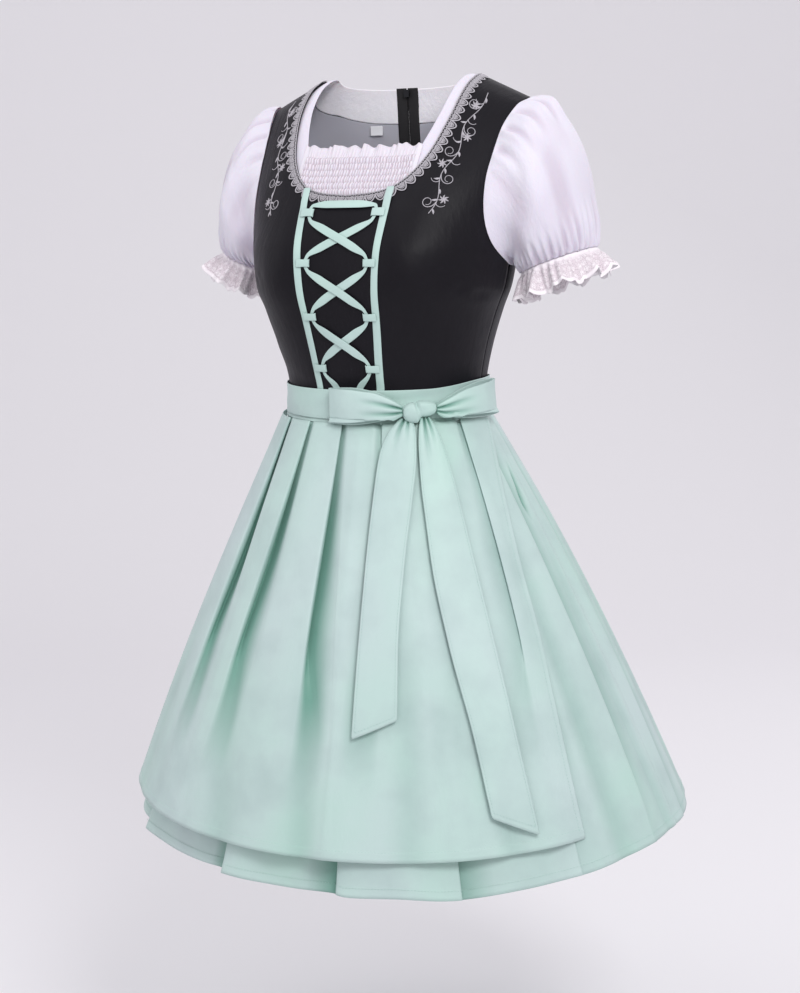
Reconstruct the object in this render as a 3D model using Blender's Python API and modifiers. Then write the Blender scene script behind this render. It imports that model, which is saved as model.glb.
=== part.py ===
# A dirndl dress on an empty, worn form: laced bodice, puff sleeves, pleated skirt, apron and bow.
# Metres, +Z up. The wearer faces -Y and the wearer's left is +X. The origin lies midway between the
# two shoulder high points, where the neck edge crosses the shoulder seams.
import math

import bmesh
import bpy
import numpy as np
from mathutils import Matrix, Vector

for old in list(bpy.data.objects):
    bpy.data.objects.remove(old, do_unlink=True)

# ---------------------------------------------------------------- driving dimensions
shoulder_half_width = 0.165     # shoulder point from the centre
shoulder_slope = 25.0           # degrees
slope_starts_at = 0.092         # distance from the centre at which the shoulder begins to slope
slope_fades_at = 0.200          # drop at which the sections no longer follow the sloping shoulder
waist_drop = 0.386              # shoulder high point down to the waist seam
waist_center_y = -0.064
waist_half_width = 0.1205
waist_half_depth = 0.104
skirt_length = 0.484
hem_half_width = 0.345
hem_half_depth = 0.306
hem_center_y = -0.0485
hem_dip = 0.007                 # the hem hangs this much lower in front and higher behind
hem_side_lift = 0.008           # the hem rises this much at both sides
skirt_swell = 0.17              # how far the flare runs ahead of a straight cone
apron_top_down = 0.0114         # the apron's upper and lower edges, as shares of the skirt's length
apron_hem_down = 0.930
bust_swell = 0.013              # extra fullness over each bust point
bust_across = 0.082
bust_drop = 0.215
bust_spread = 0.040
bust_height = 0.055
cloth = 0.0012                  # wall of the bodice, skirt and bands
thin_cloth = 0.0010             # wall of the apron, sleeves, ribbons and lace
seam = 0.0003                   # gap between two pieces that are sewn together
lining_gap = 0.0012             # between the bodice and what lies inside it
trim_gap = 0.0005               # between the bodice and the trimming on it
zip_half_gap = 0.0008           # half the space that the zip closes at the centre back
tape_width = 0.0085
ribbon_width = 0.0092
ribbon_width_in_loop = 0.0036

# ---------------------------------------------------------------- tables
# Bodice sections: at each drop below the shoulder ridge the half width, the y of the front, back and
# side lines, and how square the section is (2 is an ellipse)
torso_columns = ("drop", "half_width", "front", "back", "side", "square")
torso_rows = [
    (0.000, 0.1800, 0.0000, 0.0000, 0.0000, 2.50),
    (0.001, 0.1800, -0.0100, 0.0050, -0.0003, 2.50),
    (0.004, 0.1800, -0.0215, 0.0095, -0.0010, 2.50),
    (0.012, 0.1790, -0.0420, 0.0135, -0.0040, 2.50),
    (0.030, 0.1770, -0.0680, 0.0155, -0.0100, 2.50),
    (0.050, 0.1740, -0.0880, 0.0160, -0.0180, 2.50),
    (0.080, 0.1700, -0.1130, 0.0180, -0.0280, 2.50),
    (0.105, 0.1660, -0.1330, 0.0220, -0.0360, 2.50),
    (0.130, 0.1630, -0.1510, 0.0280, -0.0420, 2.45),
    (0.160, 0.1590, -0.1690, 0.0360, -0.0480, 2.40),
    (0.200, 0.1560, -0.1830, 0.0430, -0.0550, 2.40),
    (0.240, 0.1500, -0.1860, 0.0440, -0.0600, 2.35),
    (0.270, 0.1390, -0.1820, 0.0425, -0.0630, 2.30),
    (0.310, 0.1265, -0.1750, 0.0400, -0.0640, 2.20),
    (0.335, 0.1210, -0.1700, 0.0385, -0.0640, 2.10),
    (0.352, 0.1185, -0.1665, 0.0380, -0.0640, 2.05),
    (0.386, 0.1205, -0.1680, 0.0400, -0.0640, 2.00),
]

# Front neck edge of the black cloth, from the shoulder seam to the centre
neckline_columns = ("across", "drop")
neckline_rows = [
    (0.0990, 0.000),
    (0.0985, 0.012),
    (0.0965, 0.040),
    (0.0915, 0.066),
    (0.0850, 0.087),
    (0.0740, 0.107),
    (0.0620, 0.120),
    (0.0520, 0.1265),
    (0.0300, 0.1325),
    (0.0000, 0.1350),
]

# Seam under the mint tape, from the neck edge to the waist
tape_columns = ("drop", "across")
tape_rows = [
    (0.1265, 0.0520),
    (0.1700, 0.0505),
    (0.2000, 0.0490),
    (0.2400, 0.0465),
    (0.2850, 0.0430),
    (0.3200, 0.0400),
    (0.3510, 0.0380),
    (0.3860, 0.0365),
]

# Armhole, as angle round the body (0 front, 90 side, 180 back) at each drop
armhole_columns = ("drop", "front_angle", "back_angle")
armhole_rows = [
    (0.000, 63.8, 116.2),
    (0.015, 58.0, 120.5),
    (0.045, 55.6, 122.0),
    (0.075, 56.2, 121.4),
    (0.105, 57.7, 119.8),
    (0.130, 60.0, 117.8),
    (0.152, 63.4, 114.9),
    (0.175, 68.2, 110.6),
    (0.196, 75.6, 104.0),
    (0.217, 90.0, 90.0),
]

# Rows of the front and back panels: the drop at the inner edge and at the armhole or side seam
panel_columns = ("inner_drop", "outer_drop")
panel_rows = [
    (0.000, 0.000),
    (0.004, 0.004),
    (0.012, 0.012),
    (0.028, 0.030),
    (0.050, 0.055),
    (0.072, 0.080),
    (0.092, 0.105),
    (0.110, 0.130),
    (0.1265, 0.155),
    (0.150, 0.180),
    (0.176, 0.202),
    (0.200, 0.217),
    (0.226, 0.242),
    (0.256, 0.268),
    (0.290, 0.296),
    (0.322, 0.326),
    (0.352, 0.352),
    (0.369, 0.369),
    (0.386, 0.386),
]

# Back neck edge of the black cloth, and the lower edge of the white facing behind it
back_neck_columns = ("across", "drop")
back_neck_rows = [
    (0.0990, 0.0000),
    (0.0960, 0.0080),
    (0.0840, 0.0150),
    (0.0600, 0.0185),
    (0.0300, 0.0195),
    (0.0000, 0.0195),
]
facing_low_rows = [
    (0.1260, 0.0000),
    (0.1225, 0.0180),
    (0.1080, 0.0350),
    (0.0780, 0.0490),
    (0.0400, 0.0555),
    (0.0000, 0.0570),
]
facing_top_rows = [
    (0.0865, 0.0000),
    (0.0845, 0.0060),
    (0.0760, 0.0115),
    (0.0550, 0.0145),
    (0.0280, 0.0160),
    (0.0000, 0.0165),
]

# White band inside the front neck edge
neck_band_columns = ("inner_across", "inner_drop", "outer_across", "outer_drop")
neck_band_rows = [
    (0.0865, 0.0000, 0.1030, 0.0000),
    (0.0862, 0.0120, 0.1025, 0.0120),
    (0.0842, 0.0360, 0.1005, 0.0415),
    (0.0795, 0.0580, 0.0957, 0.0680),
    (0.0735, 0.0770, 0.0890, 0.0895),
    (0.0690, 0.0900, 0.0815, 0.1025),
    (0.0650, 0.1010, 0.0755, 0.1105),
]

# Puff sleeve: at each step along it the upper outline and the lower outline in the x-z plane, and the
# reach to the front and to the back of the line between them
sleeve_columns = ("along", "top_x", "top_z", "low_x", "low_z", "middle_y", "reach")
sleeve_rows = [
    (0.00, 0.1680, -0.0335, 0.1585, -0.2150, -0.036, 0.070),
    (0.12, 0.1902, -0.0370, 0.1590, -0.2178, -0.031, 0.077),
    (0.30, 0.2120, -0.0620, 0.1596, -0.2206, -0.023, 0.081),
    (0.50, 0.2310, -0.1020, 0.1602, -0.2230, -0.025, 0.080),
    (0.68, 0.2410, -0.1430, 0.1607, -0.2250, -0.027, 0.073),
    (0.84, 0.2465, -0.1760, 0.1611, -0.2268, -0.028, 0.062),
    (0.94, 0.2460, -0.1930, 0.1613, -0.2280, -0.028, 0.052),
    (1.00, 0.2440, -0.2010, 0.1615, -0.2290, -0.028, 0.047),
]
# The wearer's right sleeve hangs closer: its top comes in and its reach is less by these amounts
right_sleeve_narrower = 0.015
right_sleeve_shallower = 0.010
sleeve_settles_along = 0.30

# A knife pleat down its length: how far the cloth doubles under, how deep it steps in, and how wide
# the step opens before the next flat
pleat_columns = ("down", "underlap", "depth", "opening")
apron_pleat_rows = [
    (0.00, 0.0120, 0.0045, 0.006),
    (0.10, 0.0100, 0.0060, 0.010),
    (0.25, 0.0070, 0.0110, 0.016),
    (0.45, 0.0045, 0.0130, 0.022),
    (0.62, 0.0035, 0.0090, 0.026),
    (0.80, 0.0030, 0.0065, 0.028),
    (1.00, 0.0030, 0.0060, 0.030),
]
skirt_pleat_rows = [
    (0.00, 0.0120, 0.0048, 0.008),
    (0.10, 0.0100, 0.0060, 0.012),
    (0.30, 0.0070, 0.0090, 0.020),
    (0.60, 0.0050, 0.0100, 0.030),
    (1.00, 0.0040, 0.0100, 0.038),
]

# Pleats: the angle of the fold's edge at the waist and at the hem, which way the edge faces
# (1 towards larger angles), and its depth against the table along the skirt and at the hem
fold_columns = ("waist_angle", "hem_angle", "faces", "strength", "hem_strength")
apron_folds = [
    (-44.0, -43.0, 1, 1.0, 1.0),
    (-23.5, -30.0, 1, 1.0, 1.0),
    (-2.2, -3.0, 1, 1.0, 1.0),
    (19.0, 17.0, -1, 0.8, 0.8),
    (41.0, 36.5, -1, 0.8, 0.8),
    (63.0, 52.0, -1, 0.7, 0.7),
]
front_folds = [
    (-59.0, -66.0, -1, 0.8, 0.5),
    (-41.0, -47.8, -1, 0.7, 1.8),
    (-17.0, -16.8, -1, 0.9, 2.3),
    (9.5, 9.2, -1, 0.7, 1.0),
    (33.5, 33.0, 1, 0.6, 0.6),
    (57.0, 57.0, 1, 0.8, 0.8),
    (79.0, 79.5, 1, 0.7, 0.7),
]
back_folds = [
    (98.0, 95.0, 1, 1.0, 1.0),
    (120.0, 119.0, 1, 0.9, 0.9),
    (142.0, 141.0, 1, 1.0, 1.0),
    (163.0, 162.0, 1, 0.8, 0.8),
]

# The skirt's hem at each angle: how far the panels between the steps turn in, and how much lower
# the hem hangs; both grow from hem_shape_from down
hem_columns = ("angle", "tuck", "drop")
hem_rows = [
    (-180.0, 0.0000, 0.0000),
    (-135.0, 0.0000, 0.0000),
    (-112.0, 0.0090, 0.0000),
    (-90.0, 0.0140, 0.0000),
    (-72.0, 0.0150, 0.0000),
    (-55.5, 0.0160, 0.0000),
    (-48.5, 0.0000, 0.0000),
    (-40.0, 0.0080, 0.0000),
    (-30.0, 0.0140, 0.0000),
    (-22.5, 0.0200, 0.0000),
    (-16.5, 0.0000, 0.0000),
    (-13.0, 0.0000, 0.0000),
    (-5.0, 0.0115, 0.0000),
    (2.5, 0.0130, 0.0000),
    (8.6, 0.0030, 0.0000),
    (10.0, 0.0000, 0.0030),
    (20.0, 0.0000, 0.0022),
    (31.0, 0.0000, 0.0062),
    (43.0, 0.0000, 0.0032),
    (60.0, 0.0000, 0.0010),
    (80.0, 0.0000, 0.0000),
    (180.0, 0.0000, 0.0000),
]
hem_shape_from = 0.62

# Apron over skirt, at each step down: how far the apron stands out, how far the skirt keeps in under
# it, and the angle of the apron's side edges
apron_columns = ("down", "out", "tuck", "edge_angle")
apron_rows = [
    (0.00, 0.0062, 0.0000, 87.0),
    (0.03, 0.0058, 0.0020, 85.2),
    (0.10, 0.0042, 0.0060, 78.5),
    (0.19, 0.0034, 0.0100, 72.6),
    (0.34, 0.0030, 0.0135, 67.2),
    (0.51, 0.0030, 0.0140, 64.5),
    (0.63, 0.0030, 0.0115, 62.3),
    (0.80, 0.0030, 0.0080, 60.5),
    (1.00, 0.0030, 0.0070, 59.3),
]

# Tie tails: the angles of both long edges at each height
tail_columns = ("z", "first_angle", "second_angle", "out")
left_tail_rows = [
    (-0.3918, 26.0, 34.0, 0.0120),
    (-0.4020, 22.0, 35.0, 0.0115),
    (-0.4250, 18.3, 34.6, 0.0105),
    (-0.4700, 15.8, 30.9, 0.0095),
    (-0.5300, 13.9, 26.6, 0.0090),
    (-0.6200, 12.6, 23.2, 0.0090),
    (-0.7070, 11.9, 22.2, 0.0095),
]
right_tail_rows = [
    (-0.3922, 41.0, 47.5, 0.0125),
    (-0.4020, 38.6, 49.0, 0.0120),
    (-0.4250, 36.6, 50.2, 0.0110),
    (-0.4700, 35.2, 50.1, 0.0100),
    (-0.5300, 34.9, 49.5, 0.0095),
    (-0.6200, 36.3, 49.2, 0.0095),
    (-0.7200, 39.0, 49.3, 0.0100),
    (-0.8135, 40.2, 49.7, 0.0110),
]
left_tail_slant = 0.010         # how far each tail's end runs up or down from its middle
right_tail_slant = -0.012

# Lacing: the drop of each pair of loops
loop_drops = (0.1545, 0.2085, 0.2680, 0.3270)

# Bow loops: each runs from the knot to its fold, with its height and its stand-off from the waist
bow_columns = ("along", "angle", "low_drop", "high_drop", "front_out", "back_out")
left_bow_rows = [
    (0.00, 30.0, 0.3800, 0.3690, 0.0170, 0.0105),
    (0.20, 25.0, 0.3855, 0.3620, 0.0175, 0.0085),
    (0.45, 15.0, 0.3910, 0.3520, 0.0185, 0.0080),
    (0.75, 3.0, 0.3935, 0.3465, 0.0165, 0.0080),
    (1.00, -7.5, 0.3925, 0.3475, 0.0125, 0.0085),
]
right_bow_rows = [
    (0.00, 47.6, 0.3800, 0.3700, 0.0170, 0.0105),
    (0.20, 52.5, 0.3845, 0.3660, 0.0175, 0.0090),
    (0.45, 63.0, 0.3880, 0.3560, 0.0195, 0.0090),
    (0.75, 77.0, 0.3900, 0.3500, 0.0205, 0.0095),
    (1.00, 90.0, 0.3910, 0.3500, 0.0185, 0.0130),
]
knot_angle = 38.8
knot_drop = 0.3755
knot_half_width = 0.0195
knot_half_height = 0.0125
knot_half_depth = 0.0080

# Lacing ribbon: in half of its route each stop is a loop's number (0 is the highest) and its side;
# the strand that leaves it lies over or under the strand it crosses
lacing_columns = ("loop", "side", "strand_out")
lacing_rows = [
    (3, -1, "under"),
    (2, 1, "over"),
    (1, -1, "under"),
    (0, 1, "top"),
    (0, -1, "over"),
    (1, 1, "under"),
    (2, -1, "over"),
    (3, 1, "level"),
]
strand_heights = {"under": 0.0017, "over": 0.0034, "level": 0.0018, "top": 0.0031, "end": 0.0016}
ribbon_ends = ((0.0165, 0.3465), (0.0125, 0.3535))
ribbon_turn = 0.0078            # height over which the ribbon turns through a loop, each way
loop_inset = 0.0095             # middle of a loop, inside the seam under the tape
loop_half_height = 0.0045
loop_columns = ("inset", "out")
loop_rows = [
    (0.0150, 0.0016),
    (0.0135, 0.0034),
    (0.0095, 0.0038),
    (0.0040, 0.0036),
    (-0.0010, 0.0031),
]

insert_half_width = 0.0740
insert_top_drop = 0.0790
insert_heading = 0.0130         # depth of the ruffle above the first row of elastic
insert_heading_waves = 12
insert_wave = 0.0025
insert_clear_share = 0.90       # the smocking lies flat beyond this share of the half width
smock_columns = 28
smock_rows = 9
smock_height = 0.0013

lace_width = 0.0125
scallop_depth = 0.0030
scallop_count = 40
ruffle_length = 0.032
ruffle_flare = 0.014
ruffle_waves = 11
ruffle_wave = 0.0050
ruffle_scallop = 0.0035
sleeve_columns_round = 32
gather_columns = ("along", "depth")
gather_rows = [
    (0.00, 0.0000),
    (0.66, 0.0000),
    (0.88, 0.0026),
    (1.00, 0.0008),
]

band_drops = (0.3560, 0.3690, 0.3860, 0.3910)
tie_drops = (0.3520, 0.3690, 0.3870)
band_step = 7.5                 # degrees
band_half_angle = 82.5

zip_tape_width = 0.0130
zip_top_drop = 0.0150
slider_drop = 0.0215
slider_depth = 0.0024
slider_gap = 0.0008             # between the slider's body and the zip tapes
pull_length = 0.0200
pull_width = 0.0060
pull_thickness = 0.0010
pull_stands_off = 0.0027        # hinge line of the pull tab, out from the back of the bodice

label_width = 0.0160
label_height = 0.0110
label_across = -0.0420
label_drop = 0.0575

# ---------------------------------------------------------------- finishes
finish_columns = ("color", "roughness", "metallic")
finishes = {
    "black_satin": ((0.012, 0.011, 0.014), 0.42, 0.0),
    "mint_satin": ((0.50, 0.74, 0.64), 0.45, 0.0),
    "white_cotton": ((0.80, 0.77, 0.84), 0.75, 0.0),
    "grey_lining": ((0.55, 0.55, 0.60), 0.70, 0.0),
    "silver_lace": ((0.36, 0.35, 0.37), 0.60, 0.0),
    "white_lace": ((0.82, 0.79, 0.83), 0.80, 0.0),
    "black_tape": ((0.015, 0.015, 0.018), 0.70, 0.0),
    "dark_metal": ((0.05, 0.05, 0.055), 0.35, 0.8),
    "white_label": ((0.85, 0.85, 0.88), 0.65, 0.0),
}


# ---------------------------------------------------------------- curves and surfaces
def smooth_curve(rows, columns, key, name):
    # a smooth curve through one column of a table, which never overshoots its rows
    table = np.array([[row[columns.index(key)], row[columns.index(name)]] for row in rows])
    table = table[table[:, 0].argsort()]
    places = table[:, 0]
    values = table[:, 1]
    steps = np.diff(places)
    slopes = np.diff(values) / steps
    product = slopes[:-1] * slopes[1:]
    total = np.where(product > 0, slopes[:-1] + slopes[1:], 1.0)
    tangents = np.zeros_like(values)
    tangents[0] = slopes[0]
    tangents[-1] = slopes[-1]
    tangents[1:-1] = np.where(product > 0, 2 * product / total, 0.0)

    def value(place):
        place = np.clip(place, places[0], places[-1])
        i = np.clip(np.searchsorted(places, place) - 1, 0, len(steps) - 1)
        t = (place - places[i]) / steps[i]
        start = (2 * t**3 - 3 * t**2 + 1) * values[i] + (t**3 - 2 * t**2 + t) * steps[i] * tangents[i]
        end = (3 * t**2 - 2 * t**3) * values[i + 1] + (t**3 - t**2) * steps[i] * tangents[i + 1]
        return start + end

    return value


def table_curves(rows, columns):
    # every column of a table as a smooth curve over its first column
    return {name: smooth_curve(rows, columns, columns[0], name) for name in columns[1:]}


def curves_by_share(rows, columns):
    # every column as a smooth curve over the share of the rows passed, 0 to 1
    shares = np.linspace(0, 1, len(rows))
    numbered = [(share,) + tuple(row) for share, row in zip(shares, rows)]
    return table_curves(numbered, ("share",) + tuple(columns))


def ease(value):
    value = np.clip(value, 0.0, 1.0)
    return value * value * (3 - 2 * value)


def unit(vectors):
    return vectors / np.linalg.norm(vectors, axis=-1, keepdims=True)


def blend(first, second, share):
    return first + (second - first) * share


torso = table_curves(torso_rows, torso_columns)
neckline_across = smooth_curve(neckline_rows[:8], neckline_columns, "drop", "across")
neckline_drop = smooth_curve(neckline_rows, neckline_columns, "across", "drop")
tape_across = smooth_curve(tape_rows, tape_columns, "drop", "across")
armhole = table_curves(armhole_rows, armhole_columns)
apron_over = table_curves(apron_rows, apron_columns)
hem_shape = table_curves(hem_rows, hem_columns)
neck_corner_drop = tape_rows[0][0]
underarm_drop = armhole_rows[-1][0]


def ridge_height(across):
    slope = math.tan(math.radians(shoulder_slope))
    return -np.maximum(np.abs(across) - slope_starts_at, 0) * slope


def torso_surface(angle, drop):
    turn = np.radians(angle)
    power = 2 / torso["square"](drop)
    across = torso["half_width"](drop) * np.sign(np.sin(turn)) * np.abs(np.sin(turn)) ** power
    reach = np.abs(np.cos(turn)) ** power
    in_front = np.cos(turn) >= 0
    side = torso["side"](drop)
    far_side = np.where(in_front, torso["front"](drop), torso["back"](drop))
    over_bust = ((np.abs(across) - bust_across) / bust_spread) ** 2
    over_bust = over_bust + ((drop - bust_drop) / bust_height) ** 2
    swell = bust_swell * np.exp(-over_bust) * np.minimum(1, 3 * reach)
    y = side + (far_side - side) * reach - np.where(in_front, swell, 0)
    z = -drop + ridge_height(across) * np.clip(1 - drop / slope_fades_at, 0, 1)
    return np.stack([across, y, z], axis=-1)


def moved_out(surface, first, second, out, least_second):
    # a point of a surface moved along its outward normal
    nudge = 0.4
    small = 0.0008
    held = np.maximum(second, least_second)
    along = surface(first + nudge, held) - surface(first - nudge, held)
    down = surface(first, held + small) - surface(first, held - small)
    return unit(np.cross(down, along)) * np.asarray(out)[..., None]


def torso_point(angle, drop, out=0.0):
    angle, drop, out = np.broadcast_arrays(*[np.asarray(value, float) for value in (angle, drop, out)])
    point = torso_surface(angle, drop)
    shift = moved_out(torso_surface, angle, drop, out, 0.0018)
    slope = math.radians(shoulder_slope)
    tilt = np.where(np.abs(point[..., 0]) > slope_starts_at, math.sin(slope), 0) * np.sign(point[..., 0])
    level = np.sqrt(1 - tilt**2)
    ridge_shift = np.stack([tilt, np.zeros_like(tilt), level], axis=-1) * out[..., None]
    near_ridge = ease(1 - drop / 0.006)[..., None]
    return point + blend(shift, ridge_shift, near_ridge)


def angle_at(across, drop):
    share = np.clip(np.abs(across) / torso["half_width"](drop), 0, 1)
    return np.sign(across) * np.degrees(np.arcsin(share ** (torso["square"](drop) / 2)))


def front_point(across, drop, out=0.0):
    return torso_point(angle_at(across, drop), drop, out)


def back_point(across, drop, out=0.0):
    return torso_point(180 - angle_at(across, drop), drop, out)


def skirt_radius(down):
    flare = down + skirt_swell * down * (1 - down)
    half_width = blend(waist_half_width, hem_half_width, flare)
    half_depth = blend(waist_half_depth, hem_half_depth, flare)
    return half_width, half_depth


def skirt_surface(angle, down):
    turn = np.radians(angle)
    half_width, half_depth = skirt_radius(down)
    x = half_width * np.sin(turn)
    y = blend(waist_center_y, hem_center_y, down) - half_depth * np.cos(turn)
    z = -waist_drop - down * (skirt_length + hem_dip * np.cos(turn) - hem_side_lift * np.sin(turn) ** 4)
    return np.stack([x, y, z], axis=-1)


def skirt_point(angle, down, out=0.0):
    angle, down, out = np.broadcast_arrays(*[np.asarray(value, float) for value in (angle, down, out)])
    return skirt_surface(angle, down) + moved_out(skirt_surface, angle, down, out, 0.0)


def waist_point(angle, drop, out=0.0):
    # the surface at the waist, which follows the bodice above the seam and the skirt below it
    down = np.maximum(np.asarray(drop, float) - waist_drop, 0) / skirt_length
    above = torso_point(angle, np.minimum(drop, waist_drop), out)
    below = skirt_point(angle, down, out)
    return np.where((np.asarray(drop) > waist_drop)[..., None], below, above)


def arc_angle(length, down):
    half_width, half_depth = skirt_radius(down)
    return np.degrees(2 * length / (half_width + half_depth))


# ---------------------------------------------------------------- making objects
dress = bpy.data.collections.new("dirndl_dress")
bpy.context.scene.collection.children.link(dress)
guides = bpy.data.collections.new("guides")
bpy.context.scene.collection.children.link(guides)


def finish_material(name, finish):
    color, roughness, metallic = finishes[finish]
    material = bpy.data.materials.new(name + "_" + finish)
    material.use_nodes = True
    shader = material.node_tree.nodes["Principled BSDF"]
    shader.inputs["Base Color"].default_value = (*color, 1.0)
    shader.inputs["Roughness"].default_value = roughness
    shader.inputs["Metallic"].default_value = metallic
    material.diffuse_color = (*color, 1.0)
    return material


def add_object(name, mesh, finish, smooth=True):
    mesh.materials.append(finish_material(name, finish))
    if smooth:
        mesh.shade_smooth()
        mesh.set_sharp_from_angle(angle=math.radians(45))
    thing = bpy.data.objects.new(name, mesh)
    dress.objects.link(thing)
    return thing


def grid_faces(grid, ring):
    # triangles over a grid of points, each square split along its shorter diagonal
    rows, columns = grid.shape[:2]
    faces = []
    for i in range(rows - 1):
        for j in range(columns if ring else columns - 1):
            k = (j + 1) % columns
            here, below = i * columns, (i + 1) * columns
            falling = np.linalg.norm(grid[i, j] - grid[i + 1, k])
            rising = np.linalg.norm(grid[i + 1, j] - grid[i, k])
            if falling < rising:
                faces += [(here + j, below + j, below + k), (here + j, below + k, here + k)]
            else:
                faces += [(here + j, below + j, here + k), (below + j, below + k, here + k)]
    return faces


def sheet(name, grid, finish, thickness=cloth, ring=False):
    # an open surface through rows of points, thickened inwards; rows run down the piece and columns
    # run from the wearer's right over the front to the left, so its faces point outwards
    mesh = bpy.data.meshes.new(name)
    mesh.from_pydata(grid.reshape(-1, 3).tolist(), [], grid_faces(grid, ring))
    thing = add_object(name, mesh, finish)
    wall = thing.modifiers.new("wall", "SOLIDIFY")
    wall.thickness = thickness
    wall.offset = -1
    return thing


def wall_between(name, outer, inner, finish, ring=False):
    # a closed wall between an outer and an inner grid of points, for a seam cut square to the body
    rows, columns = outer.shape[:2]
    count = rows * columns
    faces = grid_faces(outer, ring)
    faces += [tuple(corner + count for corner in reversed(face)) for face in faces]
    edges = []
    last = (rows - 1) * columns
    for j in range(columns if ring else columns - 1):
        k = (j + 1) % columns
        edges += [(k, j), (last + j, last + k)]
    if not ring:
        for i in range(rows - 1):
            here, below = i * columns, (i + 1) * columns
            edges += [(here, below), (below + columns - 1, here + columns - 1)]
    faces += [(b, a, a + count, b + count) for a, b in edges]
    mesh = bpy.data.meshes.new(name)
    points = np.concatenate([outer.reshape(-1, 3), inner.reshape(-1, 3)])
    mesh.from_pydata(points.tolist(), [], faces)
    return add_object(name, mesh, finish)


def mirrored(grid):
    return grid[:, ::-1] * np.array([-1.0, 1.0, 1.0])


def both_sides(make, name, left, finish, **settings):
    # the same piece on the wearer's left and, mirrored, on the right
    grids = left if isinstance(left, tuple) else (left,)
    make(name + "_left", *grids, finish, **settings)
    make(name + "_right", *[mirrored(grid) for grid in grids], finish, **settings)


# ---------------------------------------------------------------- bodice
def seam_shift(grid, row_mask, amount):
    # opens a shoulder seam: the chosen points of the first row move along y
    grid[0, row_mask, 1] += amount
    return grid


def front_side_grid(out, columns=8):
    inner_drop, outer_drop = np.array(panel_rows).T
    along_neck = neckline_across(np.minimum(inner_drop, neck_corner_drop))
    across = np.where(inner_drop <= neck_corner_drop, along_neck, tape_across(inner_drop)) + seam / 2
    inner_angle = angle_at(across, inner_drop)
    seam_angle = 90 - arc_angle(seam / 2, 0)
    outer_angle = np.where(outer_drop < underarm_drop, armhole["front_angle"](outer_drop), seam_angle)
    share = np.linspace(0, 1, columns)
    angle = blend(inner_angle[:, None], outer_angle[:, None], share)
    drop = blend(inner_drop[:, None], outer_drop[:, None], share)
    grid = torso_point(angle, drop, out)
    return seam_shift(grid, slice(None), -seam / 2)


def front_center_grid(out, columns=7):
    share = np.linspace(-1, 1, columns)
    top_across = np.abs(share) * (tape_across(neck_corner_drop) - seam / 2)
    below = np.array([row[0] for row in panel_rows if row[0] > neck_corner_drop])
    drop = np.concatenate([neckline_drop(top_across)[None], np.tile(below[:, None], (1, columns))])
    across = share * (tape_across(np.maximum(drop, neck_corner_drop)) - seam / 2)
    return front_point(across, drop, out)


def back_drop(outer_drop, top_drop):
    # drop along a row of a back panel, which has top_drop where the row's outer end has none
    return outer_drop + top_drop * (1 - outer_drop / waist_drop)


def back_grid(top_rows, neck_share, shoulder_across, inner_across, out, ridge_columns):
    # a back panel from the armhole and side seam to the centre back, below a given top edge
    outer_drop = np.array([row[1] for row in panel_rows])
    top = curves_by_share(top_rows, back_neck_columns)
    neck_across = np.maximum(top["across"](neck_share), inner_across)
    neck_drop = top["drop"](neck_share)
    ridge_across = np.linspace(shoulder_across, neck_across[0], ridge_columns, endpoint=False)
    top_across = np.concatenate([ridge_across, neck_across])
    top_drop = np.concatenate([np.full(ridge_columns, neck_drop[0]), neck_drop])
    top_angle = 180 - angle_at(top_across, top_drop)
    share = np.linspace(0, 1, len(top_angle))
    settled = ease(outer_drop / underarm_drop * 1.4)[:, None]
    seam_angle = 90 + arc_angle(seam / 2, 0)
    armhole_angle = armhole["back_angle"](outer_drop) - armhole["back_angle"](0.0) + top_angle[0]
    armhole_angle = blend(armhole_angle, armhole["back_angle"](outer_drop), ease(outer_drop / 0.04))
    outer_angle = np.where(outer_drop < underarm_drop, armhole_angle, seam_angle)[:, None]
    drop = back_drop(outer_drop[:, None], top_drop)
    inner_angle = 180 - angle_at(inner_across, drop)
    angle = blend(top_angle, blend(outer_angle, inner_angle, share), settled)
    angle += (outer_angle - angle[:, :1]) * (1 - share) ** 4
    angle += (inner_angle[:, -1:] - angle[:, -1:]) * share ** 8
    grid = torso_point(angle, drop, out)
    return seam_shift(grid, top_drop == 0, seam / 2)


def layer(grid_of, start_out, thickness, *settings):
    # the outer and inner points of a wall that lies on the body
    return grid_of(*settings, out=start_out), grid_of(*settings, out=start_out - thickness)


def make_bodice():
    both_sides(wall_between, "bodice_front", layer(front_side_grid, 0.0, cloth), "black_satin")
    wall_between("bodice_front_center", *layer(front_center_grid, 0.0, cloth), "black_satin")

    def back(out):
        return back_grid(back_neck_rows, np.linspace(0, 1, 6), shoulder_half_width, zip_half_gap, out, 3)

    both_sides(wall_between, "bodice_back", layer(back, 0.0, cloth), "black_satin")


inside_out = -(cloth + lining_gap)
lining_inner_across = zip_half_gap + zip_tape_width + seam


facing_shares = (0.0, 0.04, 0.12, 0.26, 0.41, 0.56, 0.71, 0.85, 1.0)


def facing_grid(out):
    share = np.array(facing_shares)
    top = curves_by_share(facing_top_rows, back_neck_columns)
    low = curves_by_share(facing_low_rows, back_neck_columns)
    down = np.array([0, 0.5, 1])[:, None]
    across = np.maximum(blend(top["across"](share), low["across"](share), down), lining_inner_across)
    drop = blend(top["drop"](share), low["drop"](share), down)
    # columns run towards larger angles, from the shoulder seam to the centre back
    grid = torso_point(180 - angle_at(across, drop), drop, out)
    grid[:, 0, 1] += seam / 2
    return grid


def lining_grid(out):
    lowered = [(across + seam * 1.5, drop + seam * 1.5) for across, drop in facing_low_rows]
    share = np.array(facing_shares[2:])
    return back_grid(lowered, share, shoulder_half_width - 0.004, lining_inner_across, out, 2)


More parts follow.
